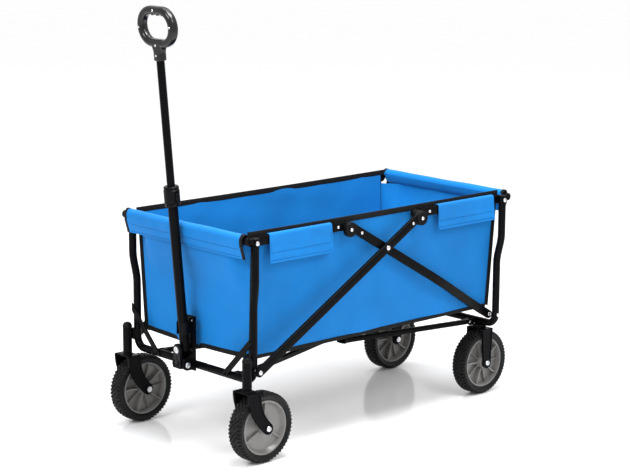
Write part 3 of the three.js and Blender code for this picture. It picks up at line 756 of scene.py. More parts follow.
def bar_shape(start, end, x, short, drift=lambda s: 0.0):
    """A flat tube in a side's plane, round at its pivot and cut square short of its other end."""
    along = Vector((0, end[0] - start[0], end[1] - start[1]))
    length = along.length - short
    along.normalize()
    half = BAR_TALL / 2
    steps = [half * -cos(pi / 2 * i / 8) for i in range(1, 9)]
    stations = steps + [length * i / 40 for i in range(1, 41)]
    scales = [(1, max(0.16, sqrt(max(0.0, 1 - (min(s, 0) / half) ** 2)))) for s in stations]
    path = [Vector((x + drift(max(s, 0)), start[0], start[1])) + along * s for s in stations]
    return sweep(path, BAR_SECTION, across=(1, 0, 0), scales=scales)


def crank(side):
    """How far the inner diagonal stands inward of its hinge, by the distance from its foot."""
    foot = side * (INNER_LOW_X - INNER_X)
    return lambda s: foot * (1 - smooth((s - CRANK_LOW) / (CRANK_TOP - CRANK_LOW)))


def scissor(name, side):
    """One side's two diagonals and their pivot, with the rails and hinges at both ends."""
    front_low, rear_low = (-LOW_PIVOT_Y, LOW_PIVOT_Z), (LOW_PIVOT_Y, LOW_PIVOT_Z)
    front_hinge, rear_hinge = (-HINGE_Y, TOP_PIVOT_Z), (HINGE_Y, TOP_PIVOT_Z)
    outer_bar = bar_shape(front_low, rear_hinge, side * OUTER_X, HINGE_CLEAR)
    make(f"outer_bar_{name}", outer_bar, STEEL, "outer_diagonals", f"outer_diagonal_{name}")
    inner_bar = bar_shape(rear_low, front_hinge, side * INNER_X, HINGE_CLEAR, crank(side))
    make(f"inner_bar_{name}", inner_bar, STEEL, "inner_diagonals", f"inner_diagonal_{name}")
    outside = side * (OUTER_X + BAR_THICK / 2)
    inside = side * (INNER_X - BAR_THICK / 2)
    pin = combined(turned(dome_head(6.2, 2.7), (outside, 0, CROSS_Z), (side, 0, 0)),
                   turned(dome_head(6.2, 2.0), (inside, 0, CROSS_Z), (-side, 0, 0)),
                   rod((inside, 0, CROSS_Z), (outside, 0, CROSS_Z), 4, 20))
    make(f"crossing_pin_{name}", pin, BRIGHT, "outer_diagonals", f"crossing_rivet_{name}")
    rivet(f"outer_bar_foot_rivet_{name}", (outside, *front_low), (side, 0, 0), "outer_diagonals", 5.8)
    inner_foot = side * (INNER_LOW_X + BAR_THICK / 2)
    rivet(f"inner_bar_foot_rivet_{name}", (inner_foot, *rear_low), (side, 0, 0), "inner_diagonals", 5.4)
    between = (side * (OUTER_X - BAR_THICK / 2), 0, CROSS_Z)
    washer = turned(ring(4, 9, 0, 1.2), between, (-side, 0, 0), 28, True)
    make(f"crossing_washer_{name}", washer, PLASTIC, "outer_diagonals")
    for end, end_side in ENDS:
        hinge = (end_side * HINGE_Y, TOP_PIVOT_Z)
        post = (end_side * POST_Y, TOP_PIVOT_Z)
        rail(end, name, side, -end_side, post, hinge)
        hinge_disc(end, name, side, -end_side, hinge)


def rail(end, name, side, direction, post, hinge):
    """A top rail with the plastic eye in its end."""
    body = f"{end}_rails"
    make(f"{end}_rail_bar_{name}", bar_shape(post, hinge, side * RAIL_X, HINGE_CLEAR), STEEL, body,
         f"{end}_rail_{name}")
    low, high = side * RAIL_X - BAR_THICK / 2, side * RAIL_X + BAR_THICK / 2
    reach = hinge[0] - direction * (HINGE_CLEAR - 0.4)
    eye = turned([(4.5, 0), (11, 0), (12, 1), (12, 9), (11, 10), (4.5, 10)], (low, *hinge), (1, 0, 0),
                 36, True)
    near = hinge[0] - direction * 3
    arm = block((low - 0.5, min(reach, near), hinge[1] - 9.2), (high + 0.2, max(reach, near), hinge[1] + 9.2))
    make(f"{end}_rail_eye_{name}", combined(eye, arm), PLASTIC, body, f"{end}_rail_hinge_{name}", bevel=0.8)


def hinge_disc(end, name, side, direction, hinge):
    """The plug in a diagonal's end, with its round hinge disc, bolt and collar."""
    body = "inner_diagonals" if end == "front" else "outer_diagonals"
    x = side * (INNER_X if end == "front" else OUTER_X)
    inside = side * (RAIL_X + BAR_THICK / 2 + 0.3)
    depth = abs(x + side * (BAR_THICK / 2 + 2.6) - inside)
    r = DISC_R
    profile = [(0, 0), (r - 1, 0), (r, 1), (r, depth - 1.4), (r - 0.8, depth - 0.3), (r - 2, depth),
               (r - 3.2, depth - 0.3), (r - 3.8, depth - 1.6), (7.6, depth - 1.6), (7, depth - 0.2),
               (0, depth - 0.2)]
    middle = (hinge[0], hinge[1] - DISC_DROP)
    disc = turned(profile, (inside, *middle), (side, 0, 0), 56)
    run = Vector((0, direction * cos(SLOPE), -sin(SLOPE)))
    collar_path = [Vector((x, *hinge)) + run * s for s in (2, 8, HINGE_CLEAR - 0.4)]
    arm = sweep(collar_path, rounded_rect(BAR_THICK + 1.2, BAR_TALL + 0.8, 2.4), across=(1, 0, 0),
                scales=[(1, 0.8), (1, 1), (1, 1)])
    make(f"{end}_hinge_disc_{name}", combined(disc, arm), PLASTIC, body, f"{end}_diagonal_hinge_{name}",
         bevel=0.5)
    face = inside + side * (depth - 0.3)
    rivet(f"{end}_hinge_bolt_{name}", (face, *middle), (side, 0, 0), body, 4.8, 2.2)
    outside = x + side * BAR_THICK / 2
    foot = Vector((outside, *hinge)) + run * DIAGONAL_RIVET[end]
    rivet(f"{end}_hinge_rivet_{name}", foot, (side, 0, 0), body, 4.0, 1.9)
    rail_face = side * (RAIL_X + BAR_THICK / 2)
    place = (rail_face, hinge[0] - direction * RAIL_RIVET[end], hinge[1])
    rivet(f"{end}_rail_rivet_{name}", place, (side, 0, 0), f"{end}_rails", 4.0, 1.9)


# ---- floor linkage ----
def floor_link(end, side, name, mirror):
    """A bar from its lug to the hub, with the round pins that it turns on."""
    half = LINK_BAR / 2
    start = Vector((mirror * LUG_X, side * LINK_Y, LINK_Z))
    tip_x = mirror * LINK_TIP_X[end]
    keys = [start, start - Vector((0, side * 28, 0)), (mix(start.x, tip_x, 0.5), side * 206, LINK_Z),
            (tip_x, side * 34, LINK_Z), (tip_x, side * 2, LINK_Z)]
    path = [place + Vector((0, 0, LINK_RISE)) for place in spline(keys, 10)]
    bar = sweep(path, rounded_rect(LINK_BAR, LINK_BAR, 2.2), across=(1, 0, 0))
    reach = half if end == "front" else -18.5
    tip = rod((tip_x, 0, LINK_Z), (mirror * (LINK_TIP_X[end] + reach), 0, LINK_Z), 5, 20)
    heel = rod((start.x - half, start.y, LINK_Z), (start.x + half, start.y, LINK_Z), 5, 20)
    body = f"{end}_floor_links"
    make(f"{end}_floor_link_bar_{name}", combined(bar, tip, heel), STEEL, body, f"{end}_floor_link_{name}",
         bevel=0.5)
    rivet(f"{end}_floor_link_rivet_{name}", (tip_x, side * 30, LINK_Z + 5), (0, 0, 1), body, 4.2, 2)


def finish_cad(name, material, width):
    """A CAD node kept as it is, with rounded edges and its finish."""
    piece = frame["nodes"][name]
    weld = piece.modifiers.new("weld", "WELD")
    weld.merge_threshold = 0.01 * MM
    round_edges(piece, width, 3)
    piece.data.materials.clear()
    piece.data.materials.append(material)
    for index in range(len(piece.data.polygons)):
        piece.data.polygons[index].material_index = 0
    return piece


# ---- wheels ----
TREAD_HALF = 16.5
TREAD_PITCH = 28
LUGS = 56


def groove(angle, across):
    """Depth of the tread at a place: crossed grooves on the crown, notches on the shoulders."""
    turn = angle * WHEEL_R / TREAD_PITCH
    slant = across / TREAD_PITCH * 1.15
    nearest = min(abs(line * 2 % 1 - 0.5) for line in (turn + slant, turn - slant))
    crown = 1 - smooth((nearest - 0.08) / 0.09)
    notch = smooth((0.34 - abs((angle * LUGS / (2 * pi)) % 1 - 0.5)) / 0.12)
    shoulder = smooth((abs(across) - TREAD_HALF + 4.5) / 2.5)
    return 3.0 * crown * (1 - shoulder) + 4.0 * (1 - notch) * shoulder


def tyre_shape():
    """A moulded tyre about Z with crossed grooves and a notched shoulder."""
    half = TYRE_W / 2
    heights = [-TREAD_HALF + TREAD_HALF * i / 11 for i in range(23)]
    crown = [(WHEEL_R - 0.9 * (height / TREAD_HALF) ** 2, height) for height in heights]
    side = [(WHEEL_R - 1.6, TREAD_HALF + 1.6), (WHEEL_R - 2.4, TREAD_HALF + 3.2), (WHEEL_R - 4.4, half - 2.6),
            (WHEEL_R - 7.4, half - 0.9), (WHEEL_R - 8.6, half - 0.2), (WHEEL_R - 10, half - 0.5),
            (WHEEL_R - 14.5, half - 2.4), (RIM_R + 1.5, half - 4), (RIM_R, half - 5.4)]
    profile = [(r, -h) for r, h in reversed(side)] + crown + side
    count = 336
    points, faces = [], []
    for radius, height in profile:
        for i in range(count):
            angle = 2 * pi * i / count
            cut = radius - (groove(angle, height) if radius > WHEEL_R - 7 else 0)
            points.append((cut * cos(angle), cut * sin(angle), height))
    rows = len(profile)
    for j in range(rows):
        for i in range(count):
            a, b = i, (i + 1) % count
            here, there = j * count, (j + 1) % rows * count
            faces.append((here + a, here + b, there + b, there + a))
    return points, faces


def curved_rib(turn, bend, top, low, thick, start, end):
    """A thin rib standing on the dish, from the hub to the rim, curving as it goes."""
    steps = 14
    path = []
    for i in range(steps + 1):
        t = i / steps
        radius = mix(start, end, t)
        angle = turn + bend * sin(pi * t) + 0.25 * bend * t
        path.append(Vector((radius * cos(angle), radius * sin(angle), (top + low) / 2)))
    flat = [(-thick / 2, -(top - low) / 2), (thick / 2, -(top - low) / 2), (thick / 2 - 0.2, (top - low) / 2),
            (0.2 - thick / 2, (top - low) / 2)]
    points, faces = [], []
    for place, direction in zip(path, tangents(path, False)):
        side = Vector((-direction.y, direction.x, 0)).normalized()
        points += [place + side * a + Vector((0, 0, b)) for a, b in flat]
    for i in range(steps):
        here = i * 4
        faces += [(here + j, here + (j + 1) % 4, here + 4 + (j + 1) % 4, here + 4 + j) for j in range(4)]
    faces += [(3, 2, 1, 0), (steps * 4, steps * 4 + 1, steps * 4 + 2, steps * 4 + 3)]
    return points, faces


def hub_shape():
    """A wheel centre about Z: a plain dished face with three ribs above, a finely ribbed one below."""
    r = RIM_R - 0.7
    ribbed, plain = -1, 1
    profile = [(5.6, 21), (13, 21), (14.5, 20), (HUB_R, 8.4), (HUB_R + 5, 6.6), (r - 17, 5.6), (r - 11, 6.6),
               (r - 7.4, 11), (r - 4.6, 16.6), (r - 3.8, 18.2), (r - 1.6, 18.8), (r, 18), (r, -18),
               (r - 1.6, -18.8), (r - 3.4, -18.2), (r - 4.2, -16), (r - 5.6, -6), (r - 7.4, -0.6),
               (HUB_R + 2, 0.6), (HUB_R, -1), (HUB_R - 1, -19.6), (15, -21), (5.6, -21)]
    shapes = [lathe(profile, 96, True)]
    for i in range(3):
        angle = 2 * pi * i / 3 + 1.5
        shapes.append(curved_rib(angle, 0, plain * 13.6, plain * 5, 3.0, HUB_R - 3, r - 5.4))
    for i in range(5):
        angle = 2 * pi * i / 5
        shapes.append(curved_rib(angle, 0.05, ribbed * -1, ribbed * 14, 3.0, HUB_R - 3, r - 4))
        shapes.append(curved_rib(angle + pi / 5, 0.03, ribbed * -1, ribbed * 8, 1.8, HUB_R - 3, r - 6))
    return combined(*shapes)


def blade_outline(top_y, axle_y):
    """A fork blade from the side: upright at the crown, swept to a round eye at the axle."""
    foot, top, steps = WHEEL_R, FORK_TOP_Z - 1, 18
    back, front = [], []
    for i in range(steps + 1):
        t = i / steps
        middle = Vector((mix(top_y, axle_y, t ** BLADE_SWEEP), mix(top, foot, t)))
        slant = (axle_y - top_y) * BLADE_SWEEP * t ** (BLADE_SWEEP - 1)
        run = Vector((slant, foot - top)).normalized()
        out = Vector((-run.y, run.x)) * mix(BLADE_TOP, BLADE_LOW, smooth(t))
        back.append(tuple(middle + out))
        front.append(tuple(middle - out))
    turn = degrees(atan2(back[-1][1] - foot, back[-1][0] - axle_y))
    eye = arc((axle_y, foot), BLADE_LOW, turn, turn - 180, 16)
    return [*back[:-1], *eye, *reversed(front[:-1])]


def fork_shapes(x, top_y, axle_y):
    """A pressed fork: crown, two blades, and the turned-in flange along each blade's edge."""
    outline = blade_outline(top_y, axle_y)
    wide = FORK_HALF + FORK_THICK
    blades, flanges, corners = [], [], []
    for s in (-1, 1):
        inner, outer = x + s * (FORK_HALF + 0.4), x + s * (wide - 1.9)
        blades.append(plate(outline, min(inner, outer), max(inner, outer)))
        edge = [(x + s * (wide - 3.1), a, b) for a, b in outline]
        flanges.append(sweep(edge, rounded_rect(6.4, 4.2, 1.5, 3), across=(1, 0, 0)))
        corner_x = x + s * (wide - 3)
        start, end = ((corner_x, top_y + reach, FORK_TOP_Z - 3) for reach in (-BLADE_TOP, BLADE_TOP))
        corners.append(rod(start, end, 2.9, 16))
    crown_z = FORK_TOP_Z - FORK_THICK / 2
    crown = sweep([(x - wide + 2, top_y, crown_z), (x + wide - 2, top_y, crown_z)],
                  rounded_rect(2 * BLADE_TOP, FORK_THICK, 1.8), across=(0, 1, 0))
    return [*blades, *flanges, crown, *corners]


def axle_parts(end, name, side, x, y, body):
    """A wheel's bolt, with a socket head outside and a nut inside, and its two washers."""
    reach = FORK_HALF + FORK_THICK
    head = turned([(0, -1), (7.2, -1), (7.4, 0), (7.1, 2), (5.6, 3.9), (3, 5), (0, 5.2)],
                  (x + side * reach, y, WHEEL_R), (side, 0, 0), 36)
    nut = moved(hex_head(8, 5.4), onto((x - side * reach, y, WHEEL_R), (-side, 0, 0)))
    shaft = rod((x - reach, y, WHEEL_R), (x + reach, y, WHEEL_R), 5, 24)
    piece = make(f"{end}_axle_{name}", combined(head, nut, shaft), BRIGHT, body, f"{end}_axle_bolt_{name}",
                 bevel=0.35)
    recess = moved(plate(circle(2.6, 6), 2.6, 8, "xy"), onto((x + side * reach, y, WHEEL_R), (side, 0, 0)))
    piece.modifiers.clear()
    carve(piece, recess)
    for s in (-1, 1):
        place = (x + s * (FORK_HALF - 1.2), y, WHEEL_R)
        washer = turned(ring(5.4, 9.5, 0, 1.4), place, (-s, 0, 0), 32, True)
        make(f"{end}_axle_washer_{name}_{'out' if s == side else 'in'}", washer, BRIGHT, body)


def wheels():
    """The casters, the fixed rear forks, and the four wheels."""
    tyre, hub = tyre_shape(), hub_shape()
    for name, side in SIDES:
        stem_x = side * abs(CASTER_X)
        stem_top = SLEEVE_TOP_Z - 3.4
        stem = lathe([(0, FORK_TOP_Z - 3), (7.5, FORK_TOP_Z - 3), (7.5, stem_top - 0.6), (6.6, stem_top),
                      (0, stem_top)], 32)
        boss = lathe([(7.6, FORK_TOP_Z), (14, FORK_TOP_Z), (13, FORK_TOP_Z + 2.4), (11, FORK_TOP_Z + 3.4),
                      (7.6, FORK_TOP_Z + 3.4)], 36, True)
        shapes = fork_shapes(stem_x, STEM_Y, CASTER_AXLE_Y)
        make(f"caster_fork_pressing_{name}", combined(*shapes, shifted(stem, stem_x, STEM_Y)), STEEL,
             f"caster_{name}", f"caster_fork_{name}", bevel=0.5)
        make(f"caster_thrust_washer_{name}", shifted(boss, stem_x, STEM_Y), PLASTIC, f"caster_{name}")
        axle_parts("front", name, side, stem_x, CASTER_AXLE_Y, f"caster_{name}")
        rear_x = side * abs(REAR_WHEEL_X)
        spacer = block((rear_x - 14, REAR_AXLE_Y - 14, FORK_TOP_Z - 1),
                       (rear_x + 14, REAR_AXLE_Y + 10, CROSSBAR_Z - TUBE_R + 2))
        shapes = fork_shapes(rear_x, REAR_AXLE_Y, REAR_AXLE_Y)
        make(f"rear_fork_pressing_{name}", combined(*shapes, spacer), STEEL, "rear_frame",
             f"rear_fork_{name}", bevel=0.5)
        axle_parts("rear", name, side, rear_x, REAR_AXLE_Y, "rear_frame")
        for end, x, y in (("front", stem_x, CASTER_AXLE_Y), ("rear", rear_x, REAR_AXLE_Y)):
            plain_side = 1 if (end, name) == ("front", "right") else -1
            place = onto((x, y, WHEEL_R), (plain_side, 0, 0))
            body = f"{end}_wheel_{name}"
            make(f"{end}_tread_{name}", moved(tyre, place), RUBBER, body, f"{end}_tyre_{name}")
            make(f"{end}_hub_{name}", moved(hub, place), HUB_GREY, body, f"{end}_wheel_{name}", hard=28)


# ---- handle ----
LEAN = Matrix.Translation(HANDLE_FOOT) @ Matrix.Rotation(HANDLE_LEAN, 4, "X")


def handle_base():
    """The steel bracket and clip stay as designed; the yoke, its bolt and its screw are made here."""
    finish_cad("handle_bracket", STEEL, 0.9)
    finish_cad("handle_clip", PLASTIC, 0.7)
    for name, side in SIDES:
        cross_screw(f"bracket_screw_{name}", (side * 13, -450, 318), (0, -1, 0), "front_frame", 3.8)
    barrel = turned([(4.7, -19), (11.6, -19), (13, -17.6), (13, 17.6), (11.6, 19), (4.7, 19)], PITCH,
                    (1, 0, 0), 48, True)
    swing_z = HANDLE_FOOT.z + 8
    front = [(-15.5, PITCH.z - 9), (15.5, PITCH.z - 9), *arc((0, swing_z), 13, 0, 180, 20)]
    face = plate(front, PITCH.y - 18, PITCH.y - 10, "xz")
    base = block((-14.6, PITCH.y - 12, PITCH.z), (14.6, PITCH.y + 11.6, 230.6))
    yoke = make("handle_yoke_moulding", combined(barrel, face, base), PLASTIC, "handle_yoke", "handle_yoke",
                bevel=1.4, segments=3)
    windows = [block((s * 9 - 3.4, PITCH.y - 20, PITCH.z + 1), (s * 9 + 3.4, PITCH.y - 16.4, PITCH.z + 11))
               for s in (-1, 1)]
    carve(yoke, *windows)
    reach = 22.8
    head = turned(dome_head(7.6, 4), (reach, PITCH.y, PITCH.z), (1, 0, 0))
    nut = moved(hex_head(7.6, 4.6), onto((-reach, PITCH.y, PITCH.z), (-1, 0, 0)))
    shaft = rod((-reach, PITCH.y, PITCH.z), (reach, PITCH.y, PITCH.z), 4)
    make("handle_pitch_bolt_plated", combined(head, nut, shaft), BRIGHT, "front_frame", "handle_pitch_bolt",
         bevel=0.3)
    screw_foot = LEAN @ Vector((0, -27.4, 8))
    outward = LEAN.to_3x3() @ Vector((0, -1, 0))
    cross_screw("handle_swing_screw_head", screw_foot, outward, "handle_yoke", 6.4,
                nodes=["handle_swing_screw"])
    washer = turned(ring(3, 8.6, -0.6, 0.6), screw_foot, outward, 32, True)
    make("handle_swing_washer", washer, BRIGHT, "handle_yoke")


def handle_tubes():
    """The two tubes, and the collar with its push button between them."""
    lower = lathe([(0, 0.4), (LOWER_TUBE_R - 0.8, 0.4), (LOWER_TUBE_R, 1.2), (LOWER_TUBE_R, LOWER_TUBE_TOP),
                   (10.9, LOWER_TUBE_TOP), (10.9, 6), (0, 6)], 48)
    make("handle_outer_tube", moved(lower, LEAN), STEEL, "handle_lower", "handle_lower_tube")
    upper = lathe(ring(8.5, UPPER_TUBE_R, UPPER_TUBE_LOW, UPPER_TUBE_TOP), 48, True)
    make("handle_inner_tube", moved(upper, LEAN), STEEL, "handle_upper", "handle_upper_tube")
    r, low, high, step = COLLAR_R, COLLAR_LOW, COLLAR_TOP, LOWER_TUBE_TOP + 1
    wide_bore, narrow_bore = LOWER_TUBE_R + 0.2, UPPER_TUBE_R + 0.3
    profile = [(wide_bore, low), (r - 2.4, low), (r - 1, low + 1), (r - 0.6, low + 5), (r - 1.6, low + 6),
               (r - 1.6, low + 8), (r, low + 9.4), (r, high - 9.4), (r - 1.6, high - 8), (r - 1.6, high - 6),
               (r - 0.6, high - 5), (r - 1, high - 1.6), (r - 3, high), (narrow_bore, high),
               (narrow_bore, step), (wide_bore, step)]
    collar = make("handle_collar_moulding", moved(lathe(profile, 64, True), LEAN), PLASTIC, "handle_lower",
                  "handle_collar")
    middle = (COLLAR_LOW + COLLAR_TOP) / 2

    def oval(grow):
        top = arc((0, middle + 5.5), 4.5 + grow, 0, 180, 14)
        return top + arc((0, middle - 5.5), 4.5 + grow, 180, 360, 14)

    carve(collar, moved(plate(oval(0.5), 14.4, COLLAR_R + 5), LEAN))
    button = make("collar_push_button", moved(plate(oval(0), 18, COLLAR_R + 3.2), LEAN), PLASTIC,
                  "collar_button", "collar_button", bevel=1.3, segments=4)
    grooves = [block((COLLAR_R + 2.6, -3.4, z - 0.5), (COLLAR_R + 5, 3.4, z + 0.5))
               for z in (middle - 3.6, middle, middle + 3.6)]
    carve(button, *[moved(cut, LEAN) for cut in grooves])
    for s in (-1, 1):
        place = LEAN @ Vector((0, s * (COLLAR_R - 0.9), COLLAR_LOW + 3.4))
        cross_screw(f"collar_screw_{'front' if s < 0 else 'rear'}", place, LEAN.to_3x3() @ Vector((0, s, 0)),
                    "handle_lower", 2.6)


def ring_path(count=72):
    """The grip ring's middle line: two half circles joined by short straights."""
    straight = RING_HALF_W - RING_HALF_H
    radius = RING_HALF_H - RING_SECTION / 2
    right = arc((straight, RING_S), radius, -90, 90, count // 2)
    left = arc((-straight, RING_S), radius, 90, 270, count // 2)
    return [Vector((x, 0, z)) for x, z in right + left]


def grip_half(side):
    """One half of the ring grip with its neck, blended into one moulding, side -1 in front."""
    section = [(b, a) for a, b in rounded_rect(RING_SECTION, GRIP_THICK, 9.5, 6)]
    loop = sweep(ring_path(), section, across=(0, 1, 0), closed=True)
    neck_path = [(0, 0, mix(NECK_LOW, RING_S - RING_HALF_H + 8, i / 6)) for i in range(7)]
    widths = [(1 + 0.55 * smooth((i / 6 - 0.5) / 0.5), 1) for i in range(7)]
    neck = sweep(neck_path, rounded_rect(29, 24.4, 8.5, 5), across=(1, 0, 0), scales=widths)
    knuckle = [(0, -9.5), (3.4, -8), (4.4, 0), (3.4, 8), (0, 9.5)]
    knuckle_z = RING_S + RING_HALF_H - RING_SECTION + 1.6
    knuckles = [turned(knuckle, ((i - 1.5) * 19, 0, knuckle_z), (0, 1, 0), 20) for i in range(4)]
    label = "front" if side < 0 else "rear"
    piece = make(f"grip_{label}_moulding", combined(loop, neck, *knuckles), GRIP_BLACK, None, ride=False)
    piece.data.transform(Matrix.Translation((0, -SHIFT * MM, 0)))
    voxels = piece.modifiers.new("voxels", "REMESH")
    voxels.mode = "VOXEL"
    voxels.voxel_size = 1.3 * MM
    soften = piece.modifiers.new("soften", "SMOOTH")
    soften.factor = 0.5
    soften.iterations = 3
    applied(piece)
    piece.data.transform(Matrix.Translation((0, SHIFT * MM, 0)))
    y0, y1 = sorted((-side * 0.12, -side * 40))
    away = block((-90, y0, NECK_LOW - 20), (90, y1, RING_S + 80))
    bore = lathe(ring(0, UPPER_TUBE_R + 0.2, NECK_LOW - 6, UPPER_TUBE_TOP + 1), 40)
    carve(piece, away, bore)
    piece.data.transform(Matrix.Translation((0, -SHIFT * MM, 0)))
    to_frame = Matrix.Translation((0, SHIFT * MM, 0))
    lean = Matrix.Translation(HANDLE_FOOT * MM) @ LEAN.to_3x3().to_4x4()
    piece.data.transform(to_frame @ lean)
    piece.data.shade_smooth()
    piece.data.set_sharp_from_angle(angle=radians(40))
    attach(piece, "handle_upper")
    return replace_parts(piece, f"grip_{label}_shell")


def grip():
    """The two halves of the ring grip and the five screws that join them."""
    outward = LEAN.to_3x3() @ Vector((0, -1, 0))
    for side in (-1, 1):
        grip_half(side)
    spots = {"top": (0, RING_S + RING_HALF_H - 10), "left": (10 - RING_HALF_W, RING_S - 3),
             "right": (RING_HALF_W - 10, RING_S + 3), "neck_high": (0, RING_S - RING_HALF_H + 6),
             "neck_low": (0, NECK_LOW + 13)}
    for name, (x, s) in spots.items():
        cross_screw(f"grip_screw_{name}", LEAN @ Vector((x, -GRIP_THICK / 2 + 0.5, s)), outward,
                    "handle_upper", 3.1)


# ---- fabric ----
def tub_share(z):
    return (z - TUB_LOW_Z) / (TUB_TOP_Z - TUB_LOW_Z)


def tub_x(z):
    return mix(TUB_LOW_X, TUB_X, tub_share(z))


def tub_y(z):
    return mix(TUB_LOW_Y, TUB_Y, tub_share(z))


def ripple(a, b, seed):
    """Soft uneven waves of cloth, about -1 to 1."""
    return (sin(a * 0.021 + seed) * sin(b * 0.017 + 1.7 * seed)
            + 0.55 * sin(a * 0.043 - b * 0.031 + 2.3 * seed)
            + 0.35 * sin(a * 0.012 + b * 0.074 + seed * 0.7)) / 1.6


def cloth_piece(name, shape, body, material=BLUE, thick=CLOTH, nodes=()):
    """A sheet of fabric given its thickness; its flat size and area are worked out on the open sheet, then
    not kept.
    """
    piece = make(name, shape, material, body, *nodes, hard=60, ride=False)
    wide, long, area = sheet_size(shape)
    made = piece.modifiers.new("thickness", "SOLIDIFY")
    made.thickness = thick * MM
    made.offset = 0
    applied(piece)
    piece.data.shade_smooth()
    piece.data.set_sharp_from_angle(angle=radians(50))
    if body:
        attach(piece, body)
    share = min(area, wide * long)
    return piece


def run_length(line):
    return sum((Vector(b) - Vector(a)).length for a, b in zip(line, line[1:]))


def sheet_size(shape):
    """The longest row, the longest column and the area of a grid, in metres."""
    points, faces = shape
    across = faces[0][3]
    rows = [points[i:i + across] for i in range(0, len(points), across)]
    wide = max(run_length(row) for row in rows)
    long = max(run_length([row[i] for row in rows]) for i in range(0, across, 4))
    area = 0.0
    for a, b, c, d in faces:
        p, q, r, s = (Vector(points[i]) for i in (a, b, c, d))
        area += ((q - p).cross(r - p).length + (r - p).cross(s - p).length) / 2
    return wide * MM, long * MM, area * MM * MM


def binding(name, path, wide, tall, across, body, round_by=1.5, material=BINDING):
    """A tape sewn along a path; wide is its size in the across direction."""
    return make(name, sweep(path, rounded_rect(wide, tall, round_by, 3), across=across), material, body)


def stitches(name, line, outward, body, pitch=4.6, stitch=3.0, radius=0.42):
    """A row of short raised threads along a line of points; outward is away from the cloth."""
    shapes = []
    carry = 0.0
    for a, b in zip(line, line[1:]):
        span = (b - a).length
        run = (b - a).normalized()
        s = carry
        while s + stitch <= span:
            ends = [a + run * s, a + run * (s + stitch / 2) + outward * 0.5, a + run * (s + stitch)]
            shapes.append(sweep(ends, circle(radius, 5)))
            s += pitch
        carry = max(0.0, s - span)
    return make(name, combined(*shapes), THREAD, body)


def end_panel_point(side, u, z):
    """The end wall: straight at its corners, drawn towards the top bar along its middle."""
    x = (2 * u - 1) * (tub_x(z) - 1)
    lift = smooth((z - 400) / 136)
    middle = mix(tub_y(z), TOP_BAR_Y - 3, lift)
    hold = 1 - smooth((abs(2 * u - 1) - 0.74) / 0.26)
    y = mix(tub_y(z), middle, hold)
    fade = min(1.0, (1 - abs(2 * u - 1)) * 6)
    return x, side * (y + fade * (1.8 + 1.7 * ripple(x, z, 3.1 + side))), z


def sleeve_profile(side):
    """The sleeve's section round the top bar: up its inside, over it, down to the seam and the hem."""
    wrap = TUBE_R + 1.4
    inner = [(TOP_BAR_Y - 4.6, SEAM_Z + 2), (TOP_BAR_Y - 8.5, SEAM_Z + 9)]
    over = [(TOP_BAR_Y + wrap * 1.02 * cos(a), TOP_BAR_Z + 2.6 + (wrap + 1.6) * sin(a))
            for a in (pi - pi * i / 12 for i in range(13))]
    outer = [(TOP_BAR_Y + 10.9, TOP_BAR_Z - 8), (TOP_BAR_Y + 10.4, SEAM_Z + 7), (TOP_BAR_Y + 8.6, SEAM_Z),
             (TOP_BAR_Y + 7.4, SEAM_Z - 6), (TOP_BAR_Y + 5.4, SEAM_Z - 14), (TOP_BAR_Y + 3.6, HEM_Z)]
    return [(side * y, z) for y, z in inner + over + outer]


def sleeve_half(z, outer):
    """Half the sleeve's width: inside the tub it narrows to the wall's width."""
    if outer:
        return SLEEVE_HALF_X
    return mix(TUB_X - 1, SLEEVE_HALF_X, smooth((z - SEAM_Z) / 26))


def share_at_height(profile, z):
    """Where a profile that ends by going down last passes a height, as a share of its points."""
    for i in range(len(profile) - 1, 0, -1):
        if profile[i].z <= z <= profile[i - 1].z:
            part = (z - profile[i].z) / max(1e-6, profile[i - 1].z - profile[i].z)
            return (i - part) / (len(profile) - 1)
    return 1.0


